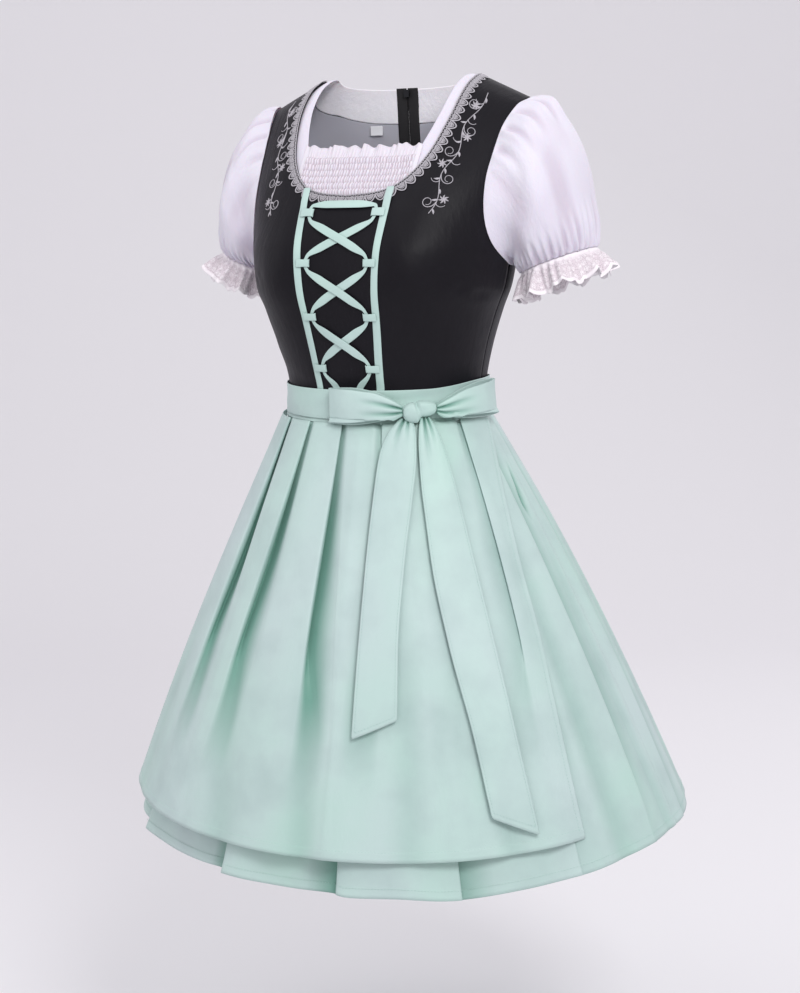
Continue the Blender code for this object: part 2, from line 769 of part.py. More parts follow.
def neck_band_grid(out):
    share = np.linspace(0, 1, 12)
    band = curves_by_share(neck_band_rows, neck_band_columns)
    aside = np.array([0, 0.5, 1])
    across = blend(band["inner_across"](share)[:, None], band["outer_across"](share)[:, None], aside)
    drop = blend(band["inner_drop"](share)[:, None], band["outer_drop"](share)[:, None], aside)
    grid = front_point(across, drop, out)
    return seam_shift(grid, slice(None), -seam / 2)


def make_neck_inside():
    both_sides(wall_between, "neck_facing_back", layer(facing_grid, inside_out, thin_cloth), "white_cotton")
    both_sides(wall_between, "lining_back", layer(lining_grid, inside_out, thin_cloth), "grey_lining")
    both_sides(wall_between, "neck_band", layer(neck_band_grid, inside_out, thin_cloth), "white_cotton")


def make_insert():
    # gathered strip between the white bands: a ruffled heading over rows of elastic
    share = np.linspace(-1, 1, smock_columns + 1)
    heading = np.array([0.0, 0.5]) * insert_heading
    across = share * insert_half_width
    low_drop = neckline_drop(np.minimum(np.abs(across), neckline_rows[4][0])) + 0.005
    below = np.linspace(0, 1, smock_rows + 1)[:, None]
    start = insert_top_drop + insert_heading
    low_drop = np.maximum(low_drop, start + 0.012)
    drop = np.concatenate([np.broadcast_to((insert_top_drop + heading)[:, None], (2, len(share))),
                           blend(start, low_drop, below)])
    across = np.broadcast_to(across, drop.shape)
    inner_out = inside_out - thin_cloth - seam - thin_cloth
    rows = np.arange(len(drop))[:, None]
    checks = (rows + np.arange(len(share))) % 2
    margin = ease((insert_clear_share - np.abs(share)) / 0.12)
    puff = smock_height * checks * margin
    puff[:2] = 0
    puff[-2:] = 0
    wave_rows = np.array([1.0, 0.55])[:, None]
    waves = np.sin(share * math.pi * insert_heading_waves)
    sway = np.zeros_like(drop)
    sway[:2] = wave_rows * waves * margin * insert_wave
    inner = front_point(across, drop, inner_out + sway)
    outer = front_point(across, drop, inner_out + thin_cloth + puff + sway)
    wall_between("blouse_insert", outer, inner, "white_cotton")


def walk(across, drop, direction, distance):
    # moves places on the front along a direction in space, keeping to the surface
    steps = 4
    small = 0.0005
    for _ in range(steps):
        by_across = (front_point(across + small, drop) - front_point(across - small, drop)) / (2 * small)
        held = np.maximum(drop, small * 2)
        by_drop = (front_point(across, held + small) - front_point(across, held - small)) / (2 * small)
        aa = np.sum(by_across * by_across, axis=-1)
        ad = np.sum(by_across * by_drop, axis=-1)
        dd = np.sum(by_drop * by_drop, axis=-1)
        a = np.sum(by_across * direction, axis=-1)
        d = np.sum(by_drop * direction, axis=-1)
        scale = aa * dd - ad * ad
        across = across + (a * dd - d * ad) / scale * distance / steps
        drop = np.maximum(drop + (d * aa - a * ad) / scale * distance / steps, 0)
    return across, drop


def even_path(across, drop, count):
    # places at even spacing along a path on the front
    points = front_point(across, drop)
    lengths = np.concatenate([[0], np.cumsum(np.linalg.norm(np.diff(points, axis=0), axis=1))])
    places = np.linspace(0, lengths[-1], count)
    return np.interp(places, lengths, across), np.interp(places, lengths, drop)


def make_neck_lace():
    # a scalloped edging along the front neck edge, from one shoulder seam to the other
    outline = curves_by_share(neckline_rows, neckline_columns)
    share = np.linspace(0, 1, 160)
    half_across = outline["across"](share)
    half_drop = outline["drop"](share)
    across = np.concatenate([-half_across, half_across[-2::-1]])
    drop = np.concatenate([half_drop, half_drop[-2::-1]])
    across, drop = even_path(across, drop, scallop_count * 2 + 1)
    points = front_point(across, drop)
    forward = unit(np.gradient(points, axis=0))
    normal = unit(front_point(across, drop, 0.001) - points)
    away = np.cross(normal, forward)
    away = away * np.where(away[len(away) // 2, 2] > 0, -1, 1)
    scallop = np.arange(len(across)) % 2
    width = lace_width - scallop_depth + scallop_depth * scallop
    near_across, near_drop = walk(across, drop, away, 0.0005)
    far_across, far_drop = walk(across, drop, away, width)
    walls = []
    for out in (trim_gap + thin_cloth, trim_gap):
        walls.append(np.stack([front_point(near_across, near_drop, out),
                               front_point(far_across, far_drop, out)]))
    wall_between("neck_lace", *walls, "silver_lace")


# ---------------------------------------------------------------- lacing
def make_lacing_tapes():
    below = [row[0] for row in panel_rows if neck_corner_drop < row[0] <= tie_drops[0]]
    drop = np.array([neck_corner_drop + 0.0012, 0.138] + below + [tie_drops[0] + 0.0035])
    over_lace = trim_gap + thin_cloth
    raised = over_lace * (1 - ease((drop - 0.140) / 0.010))[:, None]
    aside = np.array([-0.5, 0, 0.5]) * tape_width
    across = tape_across(drop)[:, None] + aside
    drop = np.broadcast_to(drop[:, None], across.shape)
    outer = front_point(across, drop, trim_gap + thin_cloth + raised)
    inner = front_point(across, drop, trim_gap + raised)
    both_sides(wall_between, "lacing_tape", (outer, inner), "mint_satin")


def make_lacing_loops():
    inset, out = np.array(loop_rows).T
    for number, middle in enumerate(loop_drops):
        drop = middle + np.array([-1, 1])[:, None] * loop_half_height
        across = tape_across(middle) - inset
        grid = front_point(np.broadcast_to(across, (2, 5)), np.broadcast_to(drop, (2, 5)), out)
        name = "lacing_loop_%d" % (number + 1)
        both_sides(sheet, name, grid, "mint_satin", thickness=thin_cloth)


def lacing_route():
    # places, stand-off and width along the ribbon, from one free end under the band to the other
    end_width = ribbon_width * 0.8
    wide_in_loop = ribbon_width_in_loop * 1.15
    level = strand_heights["level"]
    stops = [(-across, drop, strand_heights["end"], end_width) for across, drop in reversed(ribbon_ends)]
    for number, (loop, side, strand) in enumerate(lacing_rows):
        drop = loop_drops[loop]
        across = side * (tape_across(drop) - loop_inset)
        inner = across - side * 0.0030
        upward = 1 if number < 4 else -1
        stops.append((inner, drop + upward * ribbon_turn, level, wide_in_loop))
        stops.append((across, drop, level, ribbon_width_in_loop))
        leave_drop = drop - upward * ribbon_turn
        stops.append((inner, leave_drop, level, wide_in_loop))
        if number + 1 < len(lacing_rows):
            next_loop, next_side, _ = lacing_rows[number + 1]
            next_drop = loop_drops[next_loop]
            enter_next = next_drop + (ribbon_turn if number < 3 else -ribbon_turn)
            middle_drop = (leave_drop + enter_next) / 2
            if next_loop == loop:
                middle_drop = leave_drop - 0.0012
            other = next_side * (tape_across(next_drop) - loop_inset)
            out = strand_heights[strand]
            stops.append((across * 0.45, blend(leave_drop, middle_drop, 0.55), out, ribbon_width))
            stops.append((other * 0.45, blend(enter_next, middle_drop, 0.55), out, ribbon_width))
    stops += [(across, drop, strand_heights["end"], end_width) for across, drop in ribbon_ends]
    return np.array(stops)


def make_lacing_ribbon():
    across, drop, out, width = lacing_route().T
    center = front_point(across, drop, out)
    normal = unit(front_point(across, drop, 0.001) - front_point(across, drop))
    forward = unit(np.gradient(center, axis=0))
    half = unit(np.cross(forward, normal)) * width[:, None] / 2
    # rows run along the ribbon and columns across it
    grid = np.stack([center + half, center - half], axis=1)
    sheet("lacing_ribbon", grid, "mint_satin", thickness=thin_cloth)


# ---------------------------------------------------------------- sleeves
def armhole_ring(count):
    drop = np.concatenate([np.linspace(0, underarm_drop, 60), np.linspace(underarm_drop, 0, 60)[1:-1]])
    on_back = np.arange(len(drop)) < 60
    edge = np.where(on_back, armhole["back_angle"](drop) + 0.8, armhole["front_angle"](drop) - 0.8)
    near_low = ease((drop - 0.19) / (underarm_drop - 0.19))
    edge = blend(edge, np.where(on_back, armhole["back_angle"](drop), armhole["front_angle"](drop)), near_low)
    points = torso_point(edge, drop + 0.0015 * near_low, 0.0016 + 0.0024 * ease(1 - drop / 0.06))
    loop = np.concatenate([points, points[:1]])
    lengths = np.concatenate([[0], np.cumsum(np.linalg.norm(np.diff(loop, axis=0), axis=1))])
    places = np.linspace(0, lengths[-1], count, endpoint=False)
    return np.stack([np.interp(places, lengths, loop[:, axis]) for axis in range(3)], axis=1)


def sleeve_frame(along, right_side):
    shape = table_curves(sleeve_rows, sleeve_columns)
    settled = np.minimum(along / sleeve_settles_along, 1) * right_side
    top_x = shape["top_x"](along) - settled * right_sleeve_narrower
    top = np.stack([top_x, shape["middle_y"](along), shape["top_z"](along)], axis=-1)
    low = np.stack([shape["low_x"](along), shape["middle_y"](along), shape["low_z"](along)], axis=-1)
    return (top + low) / 2, (top - low) / 2, shape["reach"](along) - settled * right_sleeve_shallower


def sleeve_grid(right_side):
    along = np.array([0.0, 0.06, 0.17, 0.33, 0.50, 0.66, 0.80, 0.91, 1.0])
    around = np.linspace(0, 2 * math.pi, sleeve_columns_round, endpoint=False)
    middle, rise, reach = sleeve_frame(along, right_side)
    grid = middle[:, None] + rise[:, None] * np.cos(around)[:, None]
    grid[..., 1] += reach[:, None] * np.sin(around)
    ring = armhole_ring(sleeve_columns_round)
    free = ease(along / 0.36)[:, None, None]
    grid = blend(grid + (ring - grid[0]), grid, free)
    gathers = np.where(np.arange(sleeve_columns_round) % 2, 1.0, -1.0)
    depth = smooth_curve(gather_rows, gather_columns, "along", "depth")(along)
    spoke = unit(grid - middle[:, None])
    grid = grid + spoke * (depth[:, None] * gathers)[..., None]
    return grid


def cuff_frill_grid(right_side):
    middle, rise, reach = sleeve_frame(np.array([1.0]), right_side)
    count = ruffle_waves * 4
    around = np.linspace(0, 2 * math.pi, count, endpoint=False)
    upward = unit(rise)
    axis = np.cross(upward, np.array([0.0, 1.0, 0.0]))
    axis = axis * np.sign(-axis[0, 2])
    down = np.array([0.0, 0.45, 1.0])
    wave = np.cos(around * ruffle_waves)
    spoke = upward * np.cos(around)[:, None]
    spoke[:, 1] += np.sin(around)
    gathered = gather_rows[-1][1]
    radius_up = np.linalg.norm(rise) + gathered
    base = upward * (radius_up * np.cos(around))[:, None]
    base[:, 1] += (reach[0] + gathered) * np.sin(around)
    rows = []
    for share in down:
        out = ruffle_flare * share**0.8 + ruffle_wave * share * wave
        scallop = ruffle_scallop * share * np.abs(np.cos(around * ruffle_waves))
        drop = seam + (ruffle_length - ruffle_scallop) * share + scallop
        rows.append(middle + base + spoke * out[:, None] + axis * drop[:, None])
    return np.array(rows)


def make_sleeves():
    # both sleeves are drawn on the wearer's left and the right one is mirrored
    walls = {"thickness": thin_cloth, "ring": True}
    sheet("sleeve_left", sleeve_grid(0), "white_cotton", **walls)
    sheet("sleeve_right", mirrored(sleeve_grid(1)), "white_cotton", **walls)
    sheet("cuff_frill_left", cuff_frill_grid(0), "white_lace", **walls)
    sheet("cuff_frill_right", mirrored(cuff_frill_grid(1)), "white_lace", **walls)


# ---------------------------------------------------------------- skirt and apron
def pleated_row(folds, shape, down, start, end):
    # angles and insets of one level of a knife-pleated panel, with one flat point between pleats
    underlap = arc_angle(shape["underlap"](down), down)
    opening = arc_angle(shape["opening"](down), down)
    turned_at = 0.62
    places = [(start, 0.0)]
    for waist_angle, hem_angle, faces, strength, hem_strength in folds:
        angle = blend(waist_angle, hem_angle, down)
        kept = blend(strength, hem_strength, hem_settled(down))
        depth = shape["depth"](down) * blend(1.0, kept, ease(down / 0.15))
        pleat = [
            (angle, 0.0),
            (angle, turned_at * depth),
            (angle - faces * underlap * 0.9, turned_at * depth),
            (angle - faces * underlap, depth),
            (angle + faces * 0.15 * opening, depth),
            (angle + faces * opening, 0.15 * depth),
        ]
        if faces < 0:
            pleat.reverse()
        before = places[-1][0]
        places.append(((before + pleat[0][0]) / 2, 0.0))
        places += pleat
    places.append(((places[-1][0] + end) / 2, 0.0))
    places.append((end, 0.0))
    return np.array(places).T


def apron_grid():
    shape = table_curves(apron_pleat_rows, pleat_columns)
    rows = []
    for share in (0.0, 0.07, 0.20, 0.37, 0.57, 0.78, 1.0):
        down = blend(apron_top_down, apron_hem_down, share)
        edge = apron_over["edge_angle"](down)
        right_edge = edge + 2.5 * down
        angle, inset = pleated_row(apron_folds, shape, down, -right_edge, edge)
        rows.append(skirt_point(angle, down, apron_over["out"](down) - inset))
    return np.array(rows)


def hem_settled(down):
    return ease((down - hem_shape_from) / (1 - hem_shape_from))


def skirt_out(angle, down):
    # the skirt keeps in under the apron and comes out at the apron's side edges
    edge = apron_over["edge_angle"](down)
    cover = ease((edge - 1 - np.abs(angle)) / 7)
    return -apron_over["tuck"](down) * cover


def skirt_grid(folds, start, end, start_gap, end_gap, side=1):
    # side is -1 for a panel that is mirrored to the wearer's right
    shape = table_curves(skirt_pleat_rows, pleat_columns)
    rows = []
    for down in (0.001, 0.09, 0.26, 0.48, 0.73, 1.0):
        first = start + arc_angle(start_gap, down)
        last = end - arc_angle(end_gap, down)
        angle, inset = pleated_row(folds, shape, down, first, last)
        inset = inset + hem_shape["tuck"](side * angle) * hem_settled(down)
        row = skirt_point(angle, down, skirt_out(angle, down) - inset)
        row[:, 2] -= hem_shape["drop"](side * angle) * hem_settled(down)
        rows.append(row)
    return np.array(rows)


def make_skirt():
    sheet("skirt_front", skirt_grid(front_folds, -90, 90, seam / 2, seam / 2), "mint_satin")
    sheet("skirt_back_left", skirt_grid(back_folds, 90, 180, seam / 2, zip_half_gap), "mint_satin")
    right = skirt_grid(back_folds, 90, 180, seam / 2, zip_half_gap, -1)
    sheet("skirt_back_right", mirrored(right), "mint_satin")
    sheet("apron_skirt", apron_grid(), "mint_satin", thickness=thin_cloth)


# ---------------------------------------------------------------- waistband, tie and bow
def band_layers(angle, drops, start, thickness):
    drop = np.array(drops)[:, None]
    return waist_point(angle, drop, start + thickness), waist_point(angle, drop, start)


tie_out = trim_gap + cloth + seam


def make_waistband():
    angle = np.arange(-band_half_angle, band_half_angle + band_step / 2, band_step)
    wall_between("apron_waistband", *band_layers(angle, band_drops, trim_gap, cloth), "mint_satin")
    angle = np.arange(-180, 180, band_step)
    wall_between("apron_tie", *band_layers(angle, tie_drops, tie_out, cloth), "mint_satin", ring=True)


def bow_loop_grid(rows, to_left):
    shape = table_curves(rows, bow_columns)
    along = np.array([0.0, 0.12, 0.28, 0.5, 0.75, 1.0])
    across = np.linspace(0, 1, 5)[:, None]

    def layer_points(side, along):
        drop = blend(shape["high_drop"](along), shape["low_drop"](along), across)
        creases = 0.0014 * np.sin(across * 3 * math.pi) * (1 - ease(along / 0.7))
        swell = 0.0020 * np.sin(across * math.pi) * np.sin(along * math.pi)
        out = shape[side](along) + (swell + creases if side == "front_out" else 0 * drop)
        return waist_point(np.broadcast_to(shape["angle"](along), drop.shape), drop, out)

    front = layer_points("front_out", along)
    back = layer_points("back_out", along)
    way = -1 if to_left else 1
    end = np.array([1.0])
    drop = blend(shape["high_drop"](end), shape["low_drop"](end), across)
    middle_out = (shape["front_out"](end) + shape["back_out"](end)) / 2
    tip_angle = shape["angle"](end) + way * 1.1
    tip = waist_point(np.broadcast_to(tip_angle, drop.shape), drop, np.broadcast_to(middle_out, drop.shape))
    if to_left:
        return np.concatenate([back, tip, front[:, ::-1]], axis=1)
    return np.concatenate([front, tip, back[:, ::-1]], axis=1)


def tail_grid(rows, slant):
    shape = table_curves(rows, tail_columns)
    start, end = rows[0][0], rows[-1][0]
    z = start + (end - start) * np.linspace(0, 1, 13) ** 1.25
    aside = np.linspace(0, 1, 4)
    angle = blend(shape["first_angle"](z)[:, None], shape["second_angle"](z)[:, None], aside)
    lengths = np.linspace(0, 1, 13)[:, None] ** 3
    height = z[:, None] + slant * (2 * aside - 1) * lengths
    down = (-waist_drop - height) / skirt_length
    cup = 0.0012 * np.sin(aside * math.pi) * (1 - lengths)
    return skirt_point(angle, np.maximum(down, 0.002), shape["out"](z)[:, None] + cup)


def make_knot():
    bpy.ops.mesh.primitive_uv_sphere_add(segments=16, ring_count=8, radius=1)
    ball = bpy.context.object
    mesh = ball.data
    for vertex in mesh.vertices:
        x, y, z = vertex.co
        squared = [math.copysign(abs(value) ** 0.78, value) for value in (x, y, z)]
        groove = 0.22 * math.exp(-((squared[0] - 0.05 + 0.25 * squared[2]) / 0.16) ** 2)
        front = max(0.0, -squared[1])
        vertex.co = Vector((
            squared[0] * knot_half_width,
            squared[1] * knot_half_depth * (1 - groove * front),
            squared[2] * knot_half_height * (1 - 0.10 * max(0.0, squared[0])),
        ))
    spot = torso_point(knot_angle, knot_drop, tie_out + cloth + seam + knot_half_depth)
    bpy.data.objects.remove(ball)
    mesh.name = "bow_knot"
    knot = add_object("bow_knot", mesh, "mint_satin")
    knot.location = Vector(spot)
    outward = torso_point(knot_angle, knot_drop, 0.01) - torso_point(knot_angle, knot_drop, 0.0)
    knot.rotation_euler = (0, 0, math.atan2(outward[0], -outward[1]))


def make_bow():
    sheet("bow_loop_right", bow_loop_grid(left_bow_rows, True), "mint_satin", thickness=cloth)
    sheet("bow_loop_left", bow_loop_grid(right_bow_rows, False), "mint_satin", thickness=cloth)
    sheet("tie_tail_right", tail_grid(left_tail_rows, left_tail_slant), "mint_satin", thickness=thin_cloth)
    sheet("tie_tail_left", tail_grid(right_tail_rows, right_tail_slant), "mint_satin", thickness=thin_cloth)
    make_knot()


# ---------------------------------------------------------------- zip and label
def make_zip_tapes():
    outer_drop = np.array([row[1] for row in panel_rows])
    drop = np.maximum(back_drop(outer_drop, zip_top_drop), zip_top_drop)[:, None]
    across = np.array([zip_half_gap + zip_tape_width, zip_half_gap])
    across, drop = np.broadcast_arrays(across, drop)
    outer = back_point(across, drop, inside_out)
    inner = back_point(across, drop, inside_out - thin_cloth)
    both_sides(wall_between, "zip_tape", (outer, inner), "black_tape")


def flat_outline(name, outlines, thickness, axes):
    # a plate of an even thickness from a closed outline and the holes in it, turned into place by
    # the three axes that its width, its height and its thickness lie along
    curve = bpy.data.curves.new(name, "CURVE")
    curve.dimensions = "2D"
    curve.fill_mode = "BOTH"
    curve.extrude = thickness / 2
    for outline in outlines:
        spline = curve.splines.new("POLY")
        spline.points.add(len(outline) - 1)
        for point, (across, up) in zip(spline.points, outline):
            point.co = (across, up, 0, 1)
        spline.use_cyclic_u = True
    draft = bpy.data.objects.new(name + "_outline", curve)
    guides.objects.link(draft)
    bpy.context.view_layer.update()
    mesh = bpy.data.meshes.new_from_object(draft.evaluated_get(bpy.context.evaluated_depsgraph_get()))
    bpy.data.objects.remove(draft)
    mesh.name = name
    work = bmesh.new()
    work.from_mesh(mesh)
    bmesh.ops.remove_doubles(work, verts=work.verts, dist=0.000001)
    work.to_mesh(mesh)
    work.free()
    mesh.transform(Matrix(axes).transposed().to_4x4())
    return mesh


def rectangle(left, right, low, high):
    return [(left, low), (right, low), (right, high), (left, high)]


def guide_box(name, center, size):
    bpy.ops.mesh.primitive_cube_add(size=1, location=center)
    box = bpy.context.object
    box.name = name
    box.scale = size
    bpy.ops.object.transform_apply(location=False, rotation=False, scale=True)
    box.display_type = "WIRE"
    box.hide_render = True
    for home in list(box.users_collection):
        home.objects.unlink(box)
    guides.objects.link(box)
    return box


def make_slider_and_pull():
    # the slider sits inside the neck's back edge, its web passes between the panels and an arch behind
    # the bodice holds the pull tab's bar
    back = back_point(0.0, slider_drop)
    hinge = back + np.array([0.0, pull_stands_off, 0.0])
    body_out = inside_out - thin_cloth - slider_gap - slider_depth / 2
    body_center = back + np.array([0.0, body_out, 0.0])
    plate_out = (0.0004, 0.0016)
    arch_out = (0.0014, 0.0048)
    eye = 0.0010
    side = flat_outline(
        "zip_slider",
        [
            rectangle(body_out, arch_out[1], -0.0020, 0.0020),
            rectangle(pull_stands_off - eye, pull_stands_off + eye, -eye, eye),
        ],
        zip_half_gap * 2 - seam * 2,
        ((0, 1, 0), (0, 0, 1), (1, 0, 0)),
    )
    slider = add_object("zip_slider", side, "dark_metal", smooth=False)
    slider.location = Vector(back)
    plate_center = back + np.array([0.0, sum(plate_out) / 2, 0.0])
    for name, center, size in (
        ("slider_body", body_center, (0.0068, slider_depth, 0.0085)),
        ("slider_plate", plate_center, (0.0050, plate_out[1] - plate_out[0], 0.0070)),
    ):
        joined = slider.modifiers.new(name, "BOOLEAN")
        joined.operation = "UNION"
        joined.solver = "EXACT"
        joined.object = guide_box(name, Vector(center), size)
    eye_height = 0.0036
    bar = pull_thickness / 2
    half = pull_width / 2
    tip = 0.0012
    pull = flat_outline(
        "zip_pull_tab",
        [
            [(-half, bar), (-half, tip - pull_length), (tip - half, -pull_length),
             (half - tip, -pull_length), (half, tip - pull_length), (half, bar)],
            rectangle(-0.0011, 0.0011, -bar - eye_height, -bar),
        ],
        pull_thickness,
        ((1, 0, 0), (0, 0, 1), (0, -1, 0)),
    )
    tab = add_object("zip_pull_tab", pull, "dark_metal", smooth=False)
    tab.location = Vector(hinge)


def make_size_label():
    share = np.linspace(0, 1, 3)
    angle = 180 - angle_at(label_across, label_drop)
    half = np.degrees(label_width / 2 / 0.13)
    columns = angle + blend(-half, half, share)
    drop = label_drop + np.array([0.0, label_height])[:, None] + np.zeros(3)
    out = inside_out - thin_cloth - seam
    outer = torso_point(columns, drop, out)
    inner = torso_point(columns, drop, out - 0.0006)
    wall_between("size_label", outer, inner, "white_label")


make_bodice()
make_neck_inside()
make_insert()
make_neck_lace()
make_lacing_tapes()
make_lacing_loops()
make_lacing_ribbon()
make_sleeves()
make_skirt()
make_waistband()
make_bow()
make_zip_tapes()
make_slider_and_pull()
make_size_label()
bpy.context.view_layer.update()
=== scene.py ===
import math

import bmesh
import bpy
import numpy as np
from mathutils import Matrix, Vector


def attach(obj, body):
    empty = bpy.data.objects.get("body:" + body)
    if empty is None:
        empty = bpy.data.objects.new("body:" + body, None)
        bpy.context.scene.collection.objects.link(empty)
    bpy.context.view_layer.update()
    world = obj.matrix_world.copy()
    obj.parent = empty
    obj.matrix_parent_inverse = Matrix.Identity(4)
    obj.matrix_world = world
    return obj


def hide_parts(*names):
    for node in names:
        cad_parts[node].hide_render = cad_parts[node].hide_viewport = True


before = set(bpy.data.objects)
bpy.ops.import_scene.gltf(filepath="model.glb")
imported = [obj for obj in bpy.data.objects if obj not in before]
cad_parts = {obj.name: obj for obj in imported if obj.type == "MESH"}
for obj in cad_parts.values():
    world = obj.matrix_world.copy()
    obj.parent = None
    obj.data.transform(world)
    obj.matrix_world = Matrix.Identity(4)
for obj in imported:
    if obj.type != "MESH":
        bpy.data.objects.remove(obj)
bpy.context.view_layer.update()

body = "dress"

# sizes shared by every piece, in metres and degrees
form = {
    "shoulderSlope": 25.0, "slopeStart": 0.092, "slopeFade": 0.200,
    "waistDrop": 0.386, "waistCenterY": -0.064, "waistHalf": (0.1205, 0.104),
    "skirtLength": 0.484, "hemHalf": (0.345, 0.306), "hemCenterY": -0.0485, "hemDip": 0.007, "hemSideLift": 0.008,
    "skirtSwell": 0.17,
    "bust": {"swell": 0.013, "across": 0.082, "drop": 0.215, "spread": 0.040, "height": 0.055},
    "seam": 0.0003, "cloth": 0.0012, "thin": 0.0010, "trimGap": 0.0005, "liningGap": 0.0012,
    "zipHalfGap": 0.0008, "shell": 0.0007,
}
wallOf = {"label": 0.0004, "sheer": 0.0005, "thin": 0.0006, "doubled": 0.0009}
insideOut = -(form["cloth"] + form["liningGap"])
tieOut = form["trimGap"] + form["cloth"] + form["seam"]

torsoTable = {
    "drop": (0.000, 0.001, 0.004, 0.012, 0.030, 0.050, 0.080, 0.105, 0.130, 0.160, 0.200, 0.240, 0.270, 0.310,
             0.335, 0.352, 0.386),
    "halfWidth": (0.180, 0.180, 0.180, 0.179, 0.177, 0.174, 0.170, 0.166, 0.163, 0.159, 0.156, 0.150, 0.139, 0.1265,
                  0.121, 0.1185, 0.1205),
    "front": (0.0, -0.010, -0.0215, -0.042, -0.068, -0.088, -0.113, -0.133, -0.151, -0.169, -0.183, -0.186, -0.182,
              -0.175, -0.170, -0.1665, -0.168),
    "back": (0.0, 0.005, 0.0095, 0.0135, 0.0155, 0.016, 0.018, 0.022, 0.028, 0.036, 0.043, 0.044, 0.0425, 0.040,
             0.0385, 0.038, 0.040),
    "side": (0.0, -0.0003, -0.001, -0.004, -0.010, -0.018, -0.028, -0.036, -0.042, -0.048, -0.055, -0.060, -0.063,
             -0.064, -0.064, -0.064, -0.064),
    "square": (2.5, 2.5, 2.5, 2.5, 2.5, 2.5, 2.5, 2.5, 2.45, 2.4, 2.4, 2.35, 2.3, 2.2, 2.1, 2.05, 2.0),
}


# ---- curves and the surfaces that every piece lies on
def smoothCurve(places, values):
    # a smooth curve through the values, which never overshoots them
    order = np.argsort(places)
    places = np.asarray(places, float)[order]
    values = np.asarray(values, float)[order]
    steps = np.diff(places)
    slopes = np.diff(values) / steps
    product = slopes[:-1] * slopes[1:]
    total = np.where(product > 0, slopes[:-1] + slopes[1:], 1.0)
    tangents = np.concatenate([slopes[:1], np.where(product > 0, 2 * product / total, 0.0), slopes[-1:]])

    def value(place):
        place = np.clip(place, places[0], places[-1])
        i = np.clip(np.searchsorted(places, place) - 1, 0, len(steps) - 1)
        t = (place - places[i]) / steps[i]
        start = (2 * t**3 - 3 * t**2 + 1) * values[i] + (t**3 - 2 * t**2 + t) * steps[i] * tangents[i]
        return start + (3 * t**2 - 2 * t**3) * values[i + 1] + (t**3 - t**2) * steps[i] * tangents[i + 1]

    return value


def curvesOf(table):
    # every row of a table as a curve over its first row
    names = list(table)
    return {name: smoothCurve(table[names[0]], table[name]) for name in names[1:]}


def byShare(*columns):
    # curves through lists of values over the share of the list passed
    return [smoothCurve(np.linspace(0, 1, len(column)), column) for column in columns]


def ease(value):
    value = np.clip(value, 0.0, 1.0)
    return value * value * (3 - 2 * value)


def unit(vectors):
    return vectors / np.maximum(np.linalg.norm(vectors, axis=-1, keepdims=True), 1e-12)


def blend(first, second, share):
    return first + (second - first) * share


torso = curvesOf(torsoTable)


def torsoSurface(angle, drop):
    turn = np.radians(angle)
    power = 2 / torso["square"](drop)
    across = torso["halfWidth"](drop) * np.sign(np.sin(turn)) * np.abs(np.sin(turn)) ** power
    reach = np.abs(np.cos(turn)) ** power
    inFront = np.cos(turn) >= 0
    side = torso["side"](drop)
    bust = form["bust"]
    far = ((np.abs(across) - bust["across"]) / bust["spread"]) ** 2 + ((drop - bust["drop"]) / bust["height"]) ** 2
    swell = bust["swell"] * np.exp(-far) * np.minimum(1, 3 * reach)
    y = side + (np.where(inFront, torso["front"](drop), torso["back"](drop)) - side) * reach - inFront * swell
    ridge = -np.maximum(np.abs(across) - form["slopeStart"], 0) * math.tan(math.radians(form["shoulderSlope"]))
    return np.stack([across, y, -drop + ridge * np.clip(1 - drop / form["slopeFade"], 0, 1)], axis=-1)


def movedOut(surface, first, second, out, least):
    held = np.maximum(second, least)
    along = surface(first + 0.4, held) - surface(first - 0.4, held)
    down = surface(first, held + 0.0008) - surface(first, held - 0.0008)
    return unit(np.cross(down, along)) * np.asarray(out)[..., None]


def torsoPoint(angle, drop, out=0.0):
    angle, drop, out = np.broadcast_arrays(*[np.asarray(value, float) for value in (angle, drop, out)])
    point = torsoSurface(angle, drop)
    shift = movedOut(torsoSurface, angle, drop, out, 0.0018)
    tilt = (np.abs(point[..., 0]) > form["slopeStart"]) * math.sin(math.radians(form["shoulderSlope"]))
    tilt = tilt * np.sign(point[..., 0])
    ridgeShift = np.stack([tilt, np.zeros_like(tilt), np.sqrt(1 - tilt**2)], axis=-1) * out[..., None]
    return point + blend(shift, ridgeShift, ease(1 - drop / 0.006)[..., None])


def angleAt(across, drop):
    share = np.clip(np.abs(across) / torso["halfWidth"](drop), 0, 1)
    return np.sign(across) * np.degrees(np.arcsin(share ** (torso["square"](drop) / 2)))


def frontPoint(across, drop, out=0.0):
    return torsoPoint(angleAt(across, drop), drop, out)


def backPoint(across, drop, out=0.0):
    return torsoPoint(180 - angleAt(across, drop), drop, out)


def skirtRadius(down):
    flare = down + form["skirtSwell"] * down * (1 - down)
    return [blend(waist, hem, flare) for waist, hem in zip(form["waistHalf"], form["hemHalf"])]


def skirtSurface(angle, down):
    turn = np.radians(angle)
    halfWidth, halfDepth = skirtRadius(down)
    y = blend(form["waistCenterY"], form["hemCenterY"], down) - halfDepth * np.cos(turn)
    reach = form["skirtLength"] + form["hemDip"] * np.cos(turn) - form["hemSideLift"] * np.sin(turn) ** 4
    z = -form["waistDrop"] - down * reach
    return np.stack([halfWidth * np.sin(turn), y, z], axis=-1)


def skirtPoint(angle, down, out=0.0):
    angle, down, out = np.broadcast_arrays(*[np.asarray(value, float) for value in (angle, down, out)])
    return skirtSurface(angle, down) + movedOut(skirtSurface, angle, down, out, 0.0)


